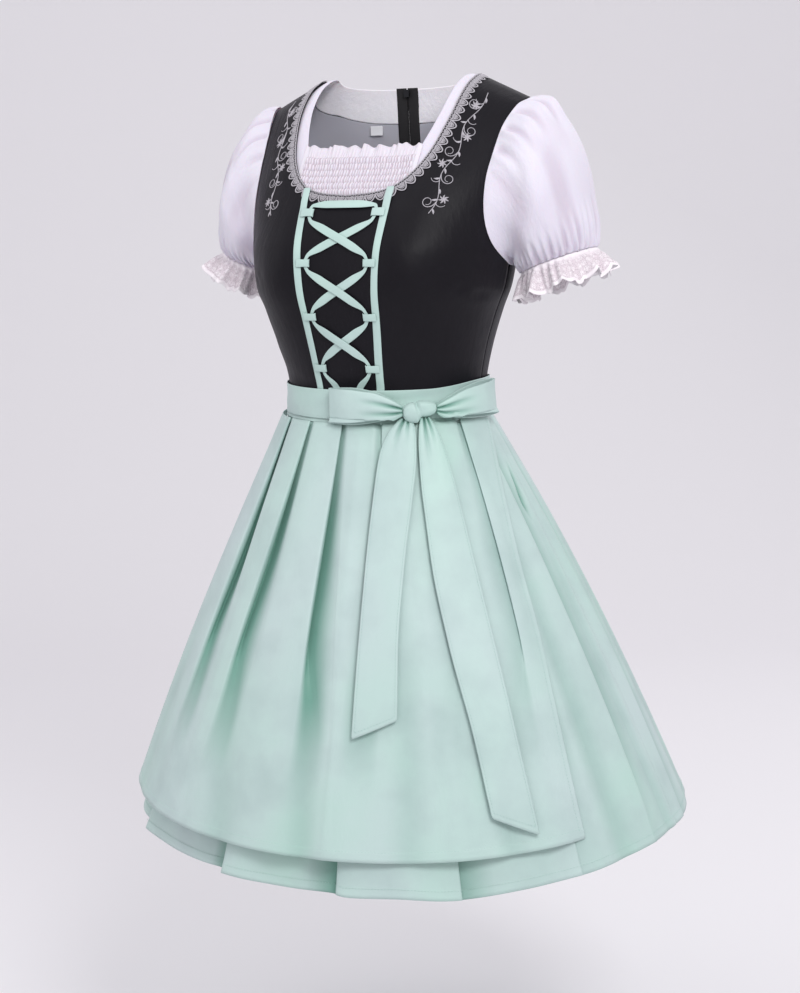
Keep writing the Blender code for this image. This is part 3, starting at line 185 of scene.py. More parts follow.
def waistPoint(angle, drop, out=0.0):
    drop = np.asarray(drop, float)
    down = np.maximum(drop - form["waistDrop"], 0) / form["skirtLength"]
    above = torsoPoint(angle, np.minimum(drop, form["waistDrop"]), out)
    return np.where((drop > form["waistDrop"])[..., None], skirtPoint(angle, down, out), above)


def arcAngle(length, down):
    halfWidth, halfDepth = skirtRadius(down)
    return np.degrees(2 * length / (halfWidth + halfDepth))


# ---- materials
def plug(tree, value, place):
    # a link from another node, or a plain value
    if isinstance(value, Socket):
        tree.links.new(value.link, place)
    else:
        place.default_value = value


class Socket:
    # a shader value that can be used in a Python expression
    def __init__(self, tree, link):
        self.tree, self.link = tree, link

    def calc(self, operation, *values):
        node = self.tree.nodes.new("ShaderNodeMath")
        node.operation = operation
        for place, value in zip(node.inputs, values):
            plug(self.tree, value, place)
        return Socket(self.tree, node.outputs[0])

    def __add__(self, other):
        return self.calc("ADD", self, other)

    def __sub__(self, other):
        return self.calc("SUBTRACT", self, other)

    def __rsub__(self, other):
        return self.calc("SUBTRACT", other, self)

    def __mul__(self, other):
        return self.calc("MULTIPLY", self, other)

    def __truediv__(self, other):
        return self.calc("DIVIDE", self, other)

    __radd__ = __add__
    __rmul__ = __mul__

    def clamp(self, low=0.0, high=1.0):
        return self.calc("MINIMUM", self.calc("MAXIMUM", self, low), high)

    def over(self, edge, soft):
        # 0 below the edge, 1 above it, with a soft step between
        return ((self - edge) / soft + 0.5).clamp()

    def wave(self, length):
        # -1 to 1 and back over each length
        return self.calc("SINE", self * (2 * math.pi / length))


class Finish:
    def __init__(self, name, look, **settings):
        self.material = bpy.data.materials.new(name)
        self.material.use_nodes = True
        self.tree = self.material.node_tree
        self.shader = self.tree.nodes["Principled BSDF"]
        self.shader.inputs["Base Color"].default_value = (*look["color"], 1)
        self.shader.inputs["Roughness"].default_value = look["roughness"]
        for socket, value in settings.items():
            self.shader.inputs[socket.replace("_", " ")].default_value = value
        self.material.diffuse_color = (*look["color"], 1)

    def node(self, kind, settings=(), output=0, **values):
        # any node: its settings are set first, then its sockets' values or links
        node = self.tree.nodes.new(kind)
        for key, value in dict(settings).items():
            setattr(node, key, value)
        for key, value in values.items():
            place = node.inputs[int(key[1:])] if key[0] == "i" and key[1:].isdigit() else node.inputs[key]
            plug(self.tree, value, place)
        return Socket(self.tree, node.outputs[output])

    def place(self, name="cloth"):
        # the piece's own cloth coordinates in metres, along and down the cut
        uv = self.node("ShaderNodeUVMap", {"uv_map": name})
        split = self.tree.nodes.new("ShaderNodeSeparateXYZ")
        self.tree.links.new(uv.link, split.inputs[0])
        return uv, Socket(self.tree, split.outputs[0]), Socket(self.tree, split.outputs[1])

    def solid(self):
        return self.node("ShaderNodeTexCoord", output=3)

    def noise(self, vector, scale, detail=3.0, roughness=0.55):
        return self.node("ShaderNodeTexNoise", Vector=vector, Scale=scale, Detail=detail, Roughness=roughness)

    def stretched(self, vector, scale):
        return self.node("ShaderNodeVectorMath", {"operation": "MULTIPLY"}, i0=vector, i1=scale)

    def mixColor(self, factor, first, second):
        def rgba(color):
            return color if isinstance(color, Socket) else (*color, 1)
        return self.node("ShaderNodeMix", {"data_type": "RGBA"}, output=2, i0=factor, i6=rgba(first), i7=rgba(second))

    def cells(self, vector, scale, feature="F1", **values):
        return self.node("ShaderNodeTexVoronoi", {"feature": feature}, Vector=vector, Scale=scale, **values)

    def paintHollowShade(self, color, look, strength):
        # the grooves between gathers and pleats keep less light
        if "hollowShade" not in look:
            return color
        groove = self.node("ShaderNodeAttribute", {"attribute_name": "hollowShade"}, output=2)
        return self.mixColor((groove * strength).clamp(), color, look["hollowShade"])

    def bump(self, height, distance, strength=1.0, normal=None):
        extra = {"Normal": normal} if normal else {}
        return self.node("ShaderNodeBump", Height=height, Distance=distance, Strength=strength, **extra)

    def feed(self, **values):
        for socket, value in values.items():
            self.tree.links.new(value.link, self.shader.inputs[socket.replace("_", " ")])
        return self.material


def makeSatin(name, look):
    # a sateen: fine floats across the cut, a soft sheen, clouds of painted sheen, patches and grooves of painted shade,
    # and faint handling creases
    finish = Finish(name, look, Sheen_Weight=look["sheen"], Sheen_Roughness=0.5,
                    Sheen_Tint=(*look["sheenTint"], 1), Specular_IOR_Level=look["specular"])
    uv, along, down = finish.place()
    threads = finish.noise(finish.stretched(uv, (2600.0, 420.0, 1.0)), 1.0, 2.0)
    twill = (along + down * 0.5).wave(look["twill"])
    broad = finish.noise(finish.stretched(finish.solid(), (1.0, 1.0, 0.42)), look["cloudScale"], 2.5, 0.5)
    small = finish.noise(finish.solid(), look["cloudScale"] * 3.1, 3.0)
    cloud = ((broad - 0.5) * 2.6 + (small - 0.5) * 0.8 + 0.5).clamp()
    creases = finish.noise(finish.stretched(uv, look["creaseScale"]), 1.0, 4.0, 0.6)
    # painted sheen: broad clouds lighten the colour towards a pale lavender reflection
    color = finish.mixColor(cloud, look["color"], look["paintedSheen"])
    # painted shade: patches of a darker colour
    color = finish.mixColor((small * 1.8 - 0.75).clamp(), color, look["shade"])
    color = finish.mixColor(threads * look["fleck"], color, look["light"])
    # painted shade in the grooves of pleats and gathers
    color = finish.paintHollowShade(color, look, 0.90)
    soft = finish.bump(creases, look["crease"], 0.5)
    normal = finish.bump(threads + twill * 0.15, 0.00009, 0.5, soft)
    rough = look["roughness"] + (cloud - 0.5) * 0.08 + (threads - 0.5) * 0.06
    return finish.feed(Base_Color=color, Roughness=rough, Normal=normal)


def makeCrepe(name, look):
    # a fine plain-weave cotton with a crinkled face
    finish = Finish(name, look, Sheen_Weight=0.12, Sheen_Roughness=0.6, Subsurface_Weight=0.06,
                    Subsurface_Scale=0.004)
    uv, along, down = finish.place()
    weave = along.wave(look["thread"]) * down.wave(look["thread"])
    crinkle = finish.noise(finish.stretched(uv, look["crinkleScale"]), 1.0, 3.0, 0.6)
    cloud = finish.noise(finish.solid(), 9.0, 2.0)
    color = finish.mixColor((cloud * 1.5 - 0.25).clamp(), look["color"], look["shade"])
    # painted shade in the gathers and creases
    color = finish.paintHollowShade(color, look, 1.15)
    normal = finish.bump(weave, 0.00006, 0.4, finish.bump(crinkle, look["crinkle"], 0.6))
    return finish.feed(Base_Color=color, Normal=normal)


def makeFrillLace(name, look):
    # netting worked with white flower sprays; the sheer ground shows between them and holes open near the edge
    finish = Finish(name, look, Sheen_Weight=0.1)
    uv, _, down = finish.place()
    net = finish.cells(uv, look["net"], "DISTANCE_TO_EDGE")
    spray = finish.cells(uv, look["sprays"], Randomness=0.35)
    petal = finish.cells(uv, look["sprays"] * 3.1, Randomness=0.5)
    flower = (1 - spray.over(0.40, 0.10)) * (1 - petal.over(0.52, 0.16) * 0.7)
    rim = down.over(look["openTo"], 0.0012)
    worked = (flower * down.over(look["openFrom"], 0.004) + rim + (1 - down.over(look["openFrom"], 0.005))).clamp()
    holes = net.over(0.12, 0.06) * (1 - worked)
    tint = finish.mixColor(worked, look["shade"], look["color"])
    normal = finish.bump(worked, 0.0006, 0.8)
    return finish.feed(Base_Color=tint, Normal=normal, Alpha=1 - holes * look["openness"])


def makeLace(name, look):
    # corded silver-grey thread
    finish = Finish(name, look, Metallic=look["metallic"], Sheen_Weight=0.2)
    cord = finish.noise(finish.solid(), 1400.0, 2.0)
    color = finish.mixColor(cord, look["shade"], look["light"])
    return finish.feed(Base_Color=color, Normal=finish.bump(cord, 0.0002, 0.7))


def makePlain(name, look):
    # small hard or woven trim
    finish = Finish(name, look, Metallic=look["metallic"])
    grain = finish.noise(finish.solid(), look["grain"], 2.0)
    rough = look["roughness"] + (grain - 0.5) * 0.2
    return finish.feed(Roughness=rough, Normal=finish.bump(grain, look["bump"], 0.5))


# in each satin look the second colour is painted sheen, the shade colour painted shade and the groove colour painted
# shade in the grooves
satinLooks = {
    "black": {"color": (0.0066, 0.0058, 0.0080), "paintedSheen": (0.0092, 0.0082, 0.0112), "shade": (0.0050, 0.0044, 0.0062),
              "light": (0.017, 0.015, 0.021), "fleck": 0.25, "roughness": 0.47, "sheen": 0.035,
              "sheenTint": (0.80, 0.76, 0.9), "specular": 0.12, "twill": 0.0009, "crease": 0.0030,
              "cloudScale": 6.0, "creaseScale": (34.0, 12.0, 1.0)},
    "mint": {"color": (0.450, 0.650, 0.585), "paintedSheen": (0.535, 0.630, 0.645), "shade": (0.365, 0.500, 0.480),
             "light": (0.62, 0.75, 0.72), "hollowShade": (0.125, 0.315, 0.245), "fleck": 0.28, "roughness": 0.47,
             "sheen": 0.14, "sheenTint": (0.90, 0.92, 1.0), "specular": 0.30, "twill": 0.0009, "crease": 0.0018,
             "cloudScale": 5.5, "creaseScale": (26.0, 9.0, 1.0)},
}
# in the cotton looks the groove colour is painted shade in gathers and creases
crepeLook = {"color": (0.715, 0.660, 0.770), "shade": (0.770, 0.735, 0.815), "roughness": 0.78, "thread": 0.0009,
             "crinkle": 0.0012, "crinkleScale": (200.0, 120.0, 1.0), "hollowShade": (0.560, 0.480, 0.575)}
shirredLook = {**crepeLook, "color": (0.790, 0.725, 0.800), "hollowShade": (0.510, 0.420, 0.485)}
# the facing is the same white cotton painted lighter: painted light for its place in shade inside the neck
litFacingLook = {**crepeLook, "color": (0.870, 0.815, 0.880), "shade": (0.900, 0.865, 0.915)}
liningLook = {"color": (0.43, 0.42, 0.49), "shade": (0.47, 0.46, 0.52), "roughness": 0.60, "thread": 0.0006,
              "crinkle": 0.0012, "crinkleScale": (30.0, 18.0, 1.0)}
frillLaceLook = {"color": (0.90, 0.845, 0.885), "shade": (0.76, 0.68, 0.73), "roughness": 0.78, "net": 620.0,
                 "sprays": 125.0, "openFrom": 0.006, "openTo": 0.0300, "openness": 0.28}
silverLook = {"color": (0.40, 0.385, 0.41), "shade": (0.25, 0.235, 0.26), "light": (0.58, 0.55, 0.60),
              "roughness": 0.52, "metallic": 0.10}
threadLook = {"color": (0.40, 0.585, 0.535), "roughness": 0.6, "metallic": 0.0, "grain": 1500.0, "bump": 0.0001}
tapeLook = {"color": (0.009, 0.008, 0.010), "roughness": 0.75, "metallic": 0.0, "grain": 1500.0, "bump": 0.0002}
metalLook = {"color": (0.028, 0.028, 0.032), "roughness": 0.32, "metallic": 0.85, "grain": 300.0, "bump": 0.00002}
labelLook = {"color": (0.84, 0.84, 0.88), "roughness": 0.62, "metallic": 0.0, "grain": 1800.0, "bump": 0.0002}

blackSatin = makeSatin("blackSatin", satinLooks["black"])
mintSatin = makeSatin("mintSatin", satinLooks["mint"])
whiteCrepe = makeCrepe("whiteCrepe", crepeLook)
shirredCrepe = makeCrepe("shirredCrepe", shirredLook)
litFacingCrepe = makeCrepe("litFacingCrepe", litFacingLook)
greyLining = makeCrepe("greyLining", liningLook)
frillLace = makeFrillLace("frillLace", frillLaceLook)
silverThread = makeLace("silverThread", silverLook)
zipTapeBlack = makePlain("zipTapeBlack", tapeLook)
darkMetal = makePlain("darkMetal", metalLook)
labelWhite = makePlain("labelWhite", labelLook)
mintThread = makePlain("mintThread", threadLook)
print("materials ready")


# ---- making pieces
def inScene(name, data):
    thing = bpy.data.objects.new(name, data)
    bpy.context.scene.collection.objects.link(thing)
    return thing


def runOf(points):
    # the length of a line of points up to each of them
    return np.concatenate([[0], np.cumsum(np.linalg.norm(np.diff(points, axis=0), axis=1))])


def gridMesh(name, grid, ring=False, hollowShade=None):
    # rows run down the piece and columns towards the wearer's left over the front; the cloth
    # coordinates measure the cut in metres
    rows, columns = grid.shape[:2]
    looped = np.concatenate([grid, grid[:, :1]], axis=1) if ring else grid
    stepsAlong = np.linalg.norm(np.diff(looped, axis=1), axis=2).mean(axis=0)
    stepsDown = np.linalg.norm(np.diff(grid, axis=0), axis=2).mean(axis=1)
    along = np.concatenate([[0], np.cumsum(stepsAlong)])
    down = np.concatenate([[0], np.cumsum(stepsDown)])
    faces = []
    places = []
    for i in range(rows - 1):
        for j in range(columns if ring else columns - 1):
            k = (j + 1) % columns
            faces.append((i * columns + j, (i + 1) * columns + j, (i + 1) * columns + k, i * columns + k))
            places += [along[j], down[i], along[j], down[i + 1], along[j + 1], down[i + 1], along[j + 1], down[i]]
    mesh = bpy.data.meshes.new(name)
    mesh.from_pydata(grid.reshape(-1, 3).tolist(), [], faces)
    mesh.uv_layers.new(name="cloth").data.foreach_set("uv", places)
    # the painted shade of the grooves is stored on each point, for the finish to darken them
    if hollowShade is not None:
        mesh.attributes.new("hollowShade", "FLOAT", "POINT").data.foreach_set("value", hollowShade.ravel())
    mesh.shade_smooth()
    return mesh


def dressPiece(thing, finish, nodes):
    thing.data.materials.clear()
    thing.data.materials.append(finish)
    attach(thing, body)
    if nodes:
        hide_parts(*nodes)
    return thing


def clothPiece(name, grid, finish, slot, nodes, cut, held="hung", rests=(), wall=None, ring=False, smooth=1,
               hollowShade=None):
    # one sheet of cloth: a thin shell on the form of its solid
    thing = inScene(name, gridMesh(name, grid, ring, hollowShade))
    if smooth:
        finer = thing.modifiers.new("finer", "SUBSURF")
        finer.levels = smooth
        finer.render_levels = smooth
    shell = thing.modifiers.new("wall", "SOLIDIFY")
    shell.thickness = wall or form["shell"]
    shell.offset = -1
    dressPiece(thing, finish, nodes)
    return thing


acrossMirror = np.array([-1.0, 1.0, 1.0])


def mirrored(grid):
    return grid[:, ::-1] * acrossMirror


def pairOf(name, node, grid, finish, slot, cut, **settings):
    clothPiece(name + "Left", grid, finish, slot, [node + "_left"], cut, **settings)
    clothPiece(name + "Right", mirrored(grid), finish, slot, [node + "_right"], cut, **settings)


def creaseDepth(first, second, creases):
    # listed folds: each is a line between two places with a width, and a depth that may be negative
    total = 0.0
    for firstA, secondA, firstB, secondB, width, depth in creases:
        run = np.array([firstB - firstA, secondB - secondA])
        length = run @ run
        share = np.clip(((first - firstA) * run[0] + (second - secondA) * run[1]) / length, 0, 1)
        far = np.hypot(first - firstA - share * run[0], second - secondA - share * run[1])
        total = total + depth * np.exp(-((far / width) ** 2)) * np.sin(math.pi * np.clip(share, 0.02, 0.98)) ** 0.5
    return total


# ---- bodice
bodice = {
    "neck": {"across": (0.0990, 0.0985, 0.0965, 0.0915, 0.0850, 0.0740, 0.0620, 0.0520, 0.0300, 0.0000),
             "drop": (0.000, 0.012, 0.040, 0.066, 0.087, 0.107, 0.120, 0.1265, 0.1325, 0.1350)},
    "frontSeam": {"drop": (0.1265, 0.1700, 0.2000, 0.2400, 0.2850, 0.3200, 0.3510, 0.3860),
                  "across": (0.0520, 0.0505, 0.0490, 0.0465, 0.0430, 0.0400, 0.0380, 0.0365)},
    "armhole": {"drop": (0.000, 0.015, 0.045, 0.075, 0.105, 0.130, 0.152, 0.175, 0.196, 0.217),
                "front": (63.8, 58.0, 55.6, 56.2, 57.7, 60.0, 63.4, 68.2, 75.6, 90.0),
                "back": (116.2, 120.5, 122.0, 121.4, 119.8, 117.8, 114.9, 110.6, 104.0, 90.0)},
    "levels": {"inner": (0.000, 0.004, 0.012, 0.028, 0.050, 0.072, 0.092, 0.110, 0.1265, 0.150, 0.176, 0.200,
                         0.226, 0.256, 0.290, 0.322, 0.352, 0.369, 0.386),
               "outer": (0.000, 0.004, 0.012, 0.030, 0.055, 0.080, 0.105, 0.130, 0.155, 0.180, 0.202, 0.217,
                         0.242, 0.268, 0.296, 0.326, 0.352, 0.369, 0.386)},
    "backNeck": {"across": (0.0990, 0.0960, 0.0840, 0.0600, 0.0300, 0.0),
                 "drop": (0, 0.0080, 0.0150, 0.0185, 0.0195, 0.0195)},
    "shoulderHalf": 0.165, "rows": 74, "columns": 30,
    "dart": (0.100, 0.216, 0.147, 0.253), "dartDepth": 0.0024,
    "sideCuts": {"front": (0.215, 0.490, 0.056), "center": (0.108, 0.275, 0.0240), "back": (0.210, 0.405, 0.065)},
    # across, drop, across, drop, width, depth
    "folds": ((0.060, 0.345, 0.120, 0.330, 0.006, -0.0008), (0.050, 0.362, 0.110, 0.352, 0.005, 0.0007),
              (0.118, 0.245, 0.142, 0.300, 0.007, -0.0009), (0.105, 0.300, 0.132, 0.335, 0.006, 0.0008),
              (0.128, 0.160, 0.140, 0.215, 0.006, -0.0008), (0.060, 0.150, 0.075, 0.240, 0.012, 0.0007)),
}
neckCornerDrop = bodice["neck"]["drop"][7]
neckAcross = smoothCurve(bodice["neck"]["drop"][:8], bodice["neck"]["across"][:8])
neckDrop = smoothCurve(bodice["neck"]["across"], bodice["neck"]["drop"])
seamAcross = smoothCurve(bodice["frontSeam"]["drop"], bodice["frontSeam"]["across"])
armhole = curvesOf(bodice["armhole"])
underarmDrop = bodice["armhole"]["drop"][-1]


def levelDrops(count):
    # drops of a panel's rows at its inner and outer edge, evenly spread down the body
    inner, outer = byShare(bodice["levels"]["inner"], bodice["levels"]["outer"])
    share = np.linspace(0, 1, count) ** 0.94
    return inner(share), outer(share)


def bodiceFolds(across, drop):
    x1, z1, x2, z2 = bodice["dart"]
    run = np.array([x2 - x1, z2 - z1])
    share = np.clip(((across - x1) * run[0] + (drop - z1) * run[1]) / (run @ run), 0, 1)
    far = np.hypot(across - x1 - share * run[0], drop - z1 - share * run[1])
    dart = -bodice["dartDepth"] * np.exp(-((far / 0.0016) ** 2)) * ease(share * 4)
    dart = dart + 0.0008 * np.exp(-((far - 0.005) / 0.004) ** 2) * ease(share * 2)
    return dart + creaseDepth(across, drop, bodice["folds"])


def frontSideGrid():
    innerDrop, outerDrop = levelDrops(bodice["rows"])
    across = np.where(innerDrop <= neckCornerDrop, neckAcross(np.minimum(innerDrop, neckCornerDrop)),
                      seamAcross(innerDrop)) + form["seam"] / 2
    innerAngle = angleAt(across, innerDrop)
    seamAngle = 90 - arcAngle(form["seam"] / 2, 0)
    outerAngle = np.where(outerDrop < underarmDrop, armhole["front"](outerDrop), seamAngle)
    share = np.linspace(0, 1, bodice["columns"])
    angle = blend(innerAngle[:, None], outerAngle[:, None], share)
    drop = blend(innerDrop[:, None], outerDrop[:, None], share)
    at = torsoSurface(angle, drop)[..., 0]
    inside = ease(share / 0.12) * ease((1 - share) / 0.08)
    low = ease((form["waistDrop"] - drop) / 0.02)
    grid = torsoPoint(angle, drop, bodiceFolds(at, drop) * inside * low)
    grid[0, :, 1] -= form["seam"] / 2
    return grid


def frontCenterGrid():
    share = np.linspace(-1, 1, 24)
    topAcross = np.abs(share) * (seamAcross(neckCornerDrop) - form["seam"] / 2)
    down = np.linspace(0, 1, 50)[:, None]
    drop = blend(neckDrop(topAcross), form["waistDrop"], down)
    across = share * (seamAcross(np.maximum(drop, neckCornerDrop)) - form["seam"] / 2)
    return frontPoint(across, drop, 0.0)


def backDrop(outerDrop, topDrop):
    return outerDrop + topDrop * (1 - outerDrop / form["waistDrop"])


def backGrid(topAcross, topDropLine, neckShare, shoulderAcross, innerAcross, out, ridgeColumns):
    _, outerDrop = levelDrops(bodice["rows"])
    acrossCurve, dropCurve = byShare(topAcross, topDropLine)
    neckLine = np.maximum(acrossCurve(neckShare), innerAcross)
    neckDrops = dropCurve(neckShare)
    ridge = np.linspace(shoulderAcross, neckLine[0], ridgeColumns, endpoint=False)
    topLine = np.concatenate([ridge, neckLine])
    topDrop = np.concatenate([np.full(ridgeColumns, neckDrops[0]), neckDrops])
    topAngle = 180 - angleAt(topLine, topDrop)
    share = np.arange(len(topAngle)) / (len(topAngle) - 1)
    settled = ease(outerDrop / underarmDrop * 1.4)[:, None]
    seamAngle = 90 + arcAngle(form["seam"] / 2, 0)
    edge = armhole["back"](outerDrop) - armhole["back"](0.0) + topAngle[0]
    edge = blend(edge, armhole["back"](outerDrop), ease(outerDrop / 0.04))
    edge = np.where(outerDrop < underarmDrop, edge, seamAngle)[:, None]
    drop = backDrop(outerDrop[:, None], topDrop)
    inner = 180 - angleAt(innerAcross, drop)
    angle = blend(topAngle, blend(edge, inner, share), settled)
    angle += (edge - angle[:, :1]) * (1 - share) ** 4
    angle += (inner[:, -1:] - angle[:, -1:]) * share ** 8
    grid = torsoPoint(angle, drop, out)
    grid[0, topDrop == 0, 1] += form["seam"] / 2
    return grid


def makeBodice():
    cuts = bodice["sideCuts"]
    pairOf("bodiceFront", "bodice_front", frontSideGrid(), blackSatin, "black_satin", cuts["front"], held="stretched",
           rests=["skirt_front"])
    clothPiece("bodiceFrontCenter", frontCenterGrid(), blackSatin, "black_satin", ["bodice_front_center"],
               cuts["center"], held="stretched", rests=["skirt_front"])
    line = bodice["backNeck"]
    back = backGrid(line["across"], line["drop"], np.linspace(0, 1, 22), bodice["shoulderHalf"],
                    form["zipHalfGap"], 0.0, 10)
    pairOf("bodiceBack", "bodice_back", back, blackSatin, "black_satin", cuts["back"], held="stretched",
           rests=["skirt_back_left"])


makeBodice()
print("bodice ready")

# ---- facing, lining and band inside the neck
neckInside = {
    "top": {"across": (0.0865, 0.0845, 0.0760, 0.0550, 0.0280, 0.0),
            "drop": (0, 0.0060, 0.0115, 0.0145, 0.0160, 0.0165)},
    "low": {"across": (0.1260, 0.1225, 0.1080, 0.0780, 0.0400, 0.0),
            "drop": (0, 0.0180, 0.0350, 0.0490, 0.0555, 0.0570)},
    "bandInner": {"across": (0.0865, 0.0862, 0.0842, 0.0795, 0.0735, 0.0690, 0.0650),
                  "drop": (0.0, 0.0120, 0.0360, 0.0580, 0.0770, 0.0900, 0.1010)},
    "bandOuter": {"across": (0.1030, 0.1025, 0.1005, 0.0957, 0.0890, 0.0815, 0.0755),
                  "drop": (0.0, 0.0120, 0.0415, 0.0680, 0.0895, 0.1025, 0.1105)},
    "edgeAcross": 0.0141, "zipWidth": 0.0130, "zipTop": 0.0150,
    "label": {"across": -0.042, "drop": 0.0580, "width": 0.016, "height": 0.011},
    "cuts": {"facing": (0.150, 0.060, 0.0048), "lining": (0.200, 0.380, 0.055), "band": (0.022, 0.176, 0.0034),
             "tape": (0.0135, 0.385), "label": (0.016, 0.011)},
}


def stripBetween(first, second, count, rows, point, out, least=0.0):
    share = np.linspace(0, 1, count)
    lines = [byShare(line["across"], line["drop"]) for line in (first, second)]
    down = np.linspace(0, 1, rows)[:, None]
    across = np.maximum(blend(lines[0][0](share), lines[1][0](share), down), least)
    drop = blend(lines[0][1](share), lines[1][1](share), down)
    return point(across, drop, out)


def makeNeckInside():
    cuts = neckInside["cuts"]
    facing = stripBetween(neckInside["top"], neckInside["low"], 44, 14, backPoint, insideOut,
                          neckInside["edgeAcross"])
    facing[:, 0, 1] += form["seam"] / 2
    pairOf("neckFacingBack", "neck_facing_back", facing, litFacingCrepe, "white_cotton", cuts["facing"],
           held="laid", rests=["bodice_back_left"], wall=wallOf["thin"])
    low = neckInside["low"]
    lining = backGrid([a + 0.0005 for a in low["across"]], [d + 0.0005 for d in low["drop"]],
                      np.linspace(0.12, 1, 18), bodice["shoulderHalf"] - 0.004, neckInside["edgeAcross"], insideOut, 6)
    pairOf("liningBack", "lining_back", lining, greyLining, "grey_lining", cuts["lining"], held="hung",
           rests=["bodice_back_left"], wall=wallOf["sheer"])
    band = stripBetween(neckInside["bandInner"], neckInside["bandOuter"], 40, 10, frontPoint, insideOut)
    band = np.swapaxes(band, 0, 1)
    band[0, :, 1] -= form["seam"] / 2
    pairOf("neckBand", "neck_band", band, whiteCrepe, "white_cotton", cuts["band"], held="laid",
           rests=["bodice_front_left"], wall=wallOf["thin"])
    _, outerDrop = levelDrops(60)
    drop = np.maximum(backDrop(outerDrop, neckInside["zipTop"]), neckInside["zipTop"])[:, None]
    across = np.linspace(form["zipHalfGap"] + neckInside["zipWidth"], form["zipHalfGap"], 8)
    ridge = 0.0004 * np.exp(-((across - 0.004) / 0.0012) ** 2)
    tape = backPoint(*np.broadcast_arrays(across, drop), insideOut - 0.0002 + ridge)
    pairOf("zipTape", "zip_tape", tape, zipTapeBlack, "black_tape", cuts["tape"], held="hung",
           rests=["bodice_back_left"], wall=wallOf["sheer"], smooth=0)
    label = neckInside["label"]
    wide = np.linspace(-0.5, 0.5, 12) * label["width"]
    tall = np.linspace(0, 1, 10)[:, None] * label["height"]
    tag = backPoint(label["across"] - wide + 0 * tall, label["drop"] + tall + 0 * wide,
                    insideOut - 0.0018 - 0.0010 * (tall / label["height"]) ** 2)
    clothPiece("sizeLabel", tag, labelWhite, "white_label", ["size_label"], cuts["label"], held="hung",
               rests=["lining_back_right"], wall=wallOf["label"])


makeNeckInside()
print("neck inside ready")

# ---- smocked insert
insert = {"half": 0.0740, "top": 0.0790, "heading": 0.0130, "headingWaves": 7, "wave": 0.0026, "rows": 7,
          "cells": 42, "puff": 0.0021, "clear": 0.96, "overBand": 0.0024, "cut": (0.235, 0.075, 0.0150)}


def makeInsert():
    share = np.linspace(-1, 1, 340)
    cells = insert["cells"]
    lowDrop = neckDrop(np.minimum(np.abs(share * insert["half"]), bodice["neck"]["across"][4])) + 0.005
    start = insert["top"] + insert["heading"]
    lowDrop = np.maximum(lowDrop, start + 0.012)
    head = np.linspace(0, 1, 10)[:-1, None]
    below = np.linspace(0, 1, 70)[:, None]
    swing = share * math.pi * insert["headingWaves"] + 1.3 * np.sin(share * 5.1)
    ruffle = np.sin(swing) + 0.45 * np.sin(share * 41 + 2 * np.sin(share * 11) + 1)
    top = insert["top"] - 0.0006 * np.sin(swing * 0.5 + 1) - 0.0007 * np.sin(share * 29 + np.sin(share * 7))
    drop = np.concatenate([blend(top, start, head), blend(start, lowDrop, below)])
    across = np.broadcast_to(share * insert["half"], drop.shape)
    innerOut = insideOut - form["thin"] - form["seam"]
    innerOut = innerOut + insert["overBand"] * ease((np.abs(share) - 0.76) / 0.10)
    margin = ease((insert["clear"] - np.abs(share)) / 0.06)
    pitch = (lowDrop.max() - start) / insert["rows"]
    row = np.clip((drop - start) / pitch, 0, None)
    # elastic rows draw the cloth in; between them it stands out in short upright folds, never quite in line
    between = np.abs(np.sin(math.pi * row)) ** 0.45
    number = np.floor(row)
    wander = 1.1 * np.sin(share * 23.0 + number * 2.7) + 0.7 * np.sin(share * 61.0 + number * 4.1)
    lean = 0.5 * np.sin(row * 2 * math.pi + number)
    folds = np.sin(share * math.pi * cells + wander + number * 2.3 + lean)
    gathers = np.clip(0.5 + 0.80 * folds, 0, 1) ** 0.7
    edge = ease((lowDrop - drop) / 0.006)
    puff = between * (0.15 + 0.85 * gathers) * margin * edge
    puff[:9] = 0
    rise = np.concatenate([(1 - head) ** 0.8, np.zeros((70, 1))])
    fine = (1 - rise) * np.sin(share * math.pi * cells + wander)
    out = innerOut + insert["puff"] * puff + insert["wave"] * margin * rise * ruffle
    out[:9] += (0.35 * insert["puff"] * margin * fine)[:9]
    # painted shade between the puffed gathers and in the heading's folds
    hollowShade = (1 - 0.30 * between - 0.70 * gathers) * margin
    hollowShade[:9] = (0.35 * (0.5 - 0.5 * fine) * margin)[:9]
    clothPiece("blouseInsert", frontPoint(across, drop, out), shirredCrepe, "white_cotton", ["blouse_insert"],
               insert["cut"], held="gathered", rests=["neck_band_left"], wall=wallOf["sheer"], smooth=0, hollowShade=hollowShade)


makeInsert()
print("insert ready")


# ---- paths along the front and small things set along them
def walk(across, drop, direction, distance):
    # moves places on the front along a direction in space, keeping to the surface
    small = 0.0005
    for _ in range(4):
        held = np.maximum(drop, 2 * small)
        byAcross = (frontPoint(across + small, drop) - frontPoint(across - small, drop)) / (2 * small)
        byDrop = (frontPoint(across, held + small) - frontPoint(across, held - small)) / (2 * small)
        aa, ad, dd = [np.sum(a * b, axis=-1) for a, b in ((byAcross,) * 2, (byAcross, byDrop), (byDrop,) * 2)]
        a, d = np.sum(byAcross * direction, axis=-1), np.sum(byDrop * direction, axis=-1)
        scale = aa * dd - ad * ad
        across = across + (a * dd - d * ad) / scale * distance / 4
        drop = np.maximum(drop + (d * aa - a * ad) / scale * distance / 4, 0)
    return across, drop


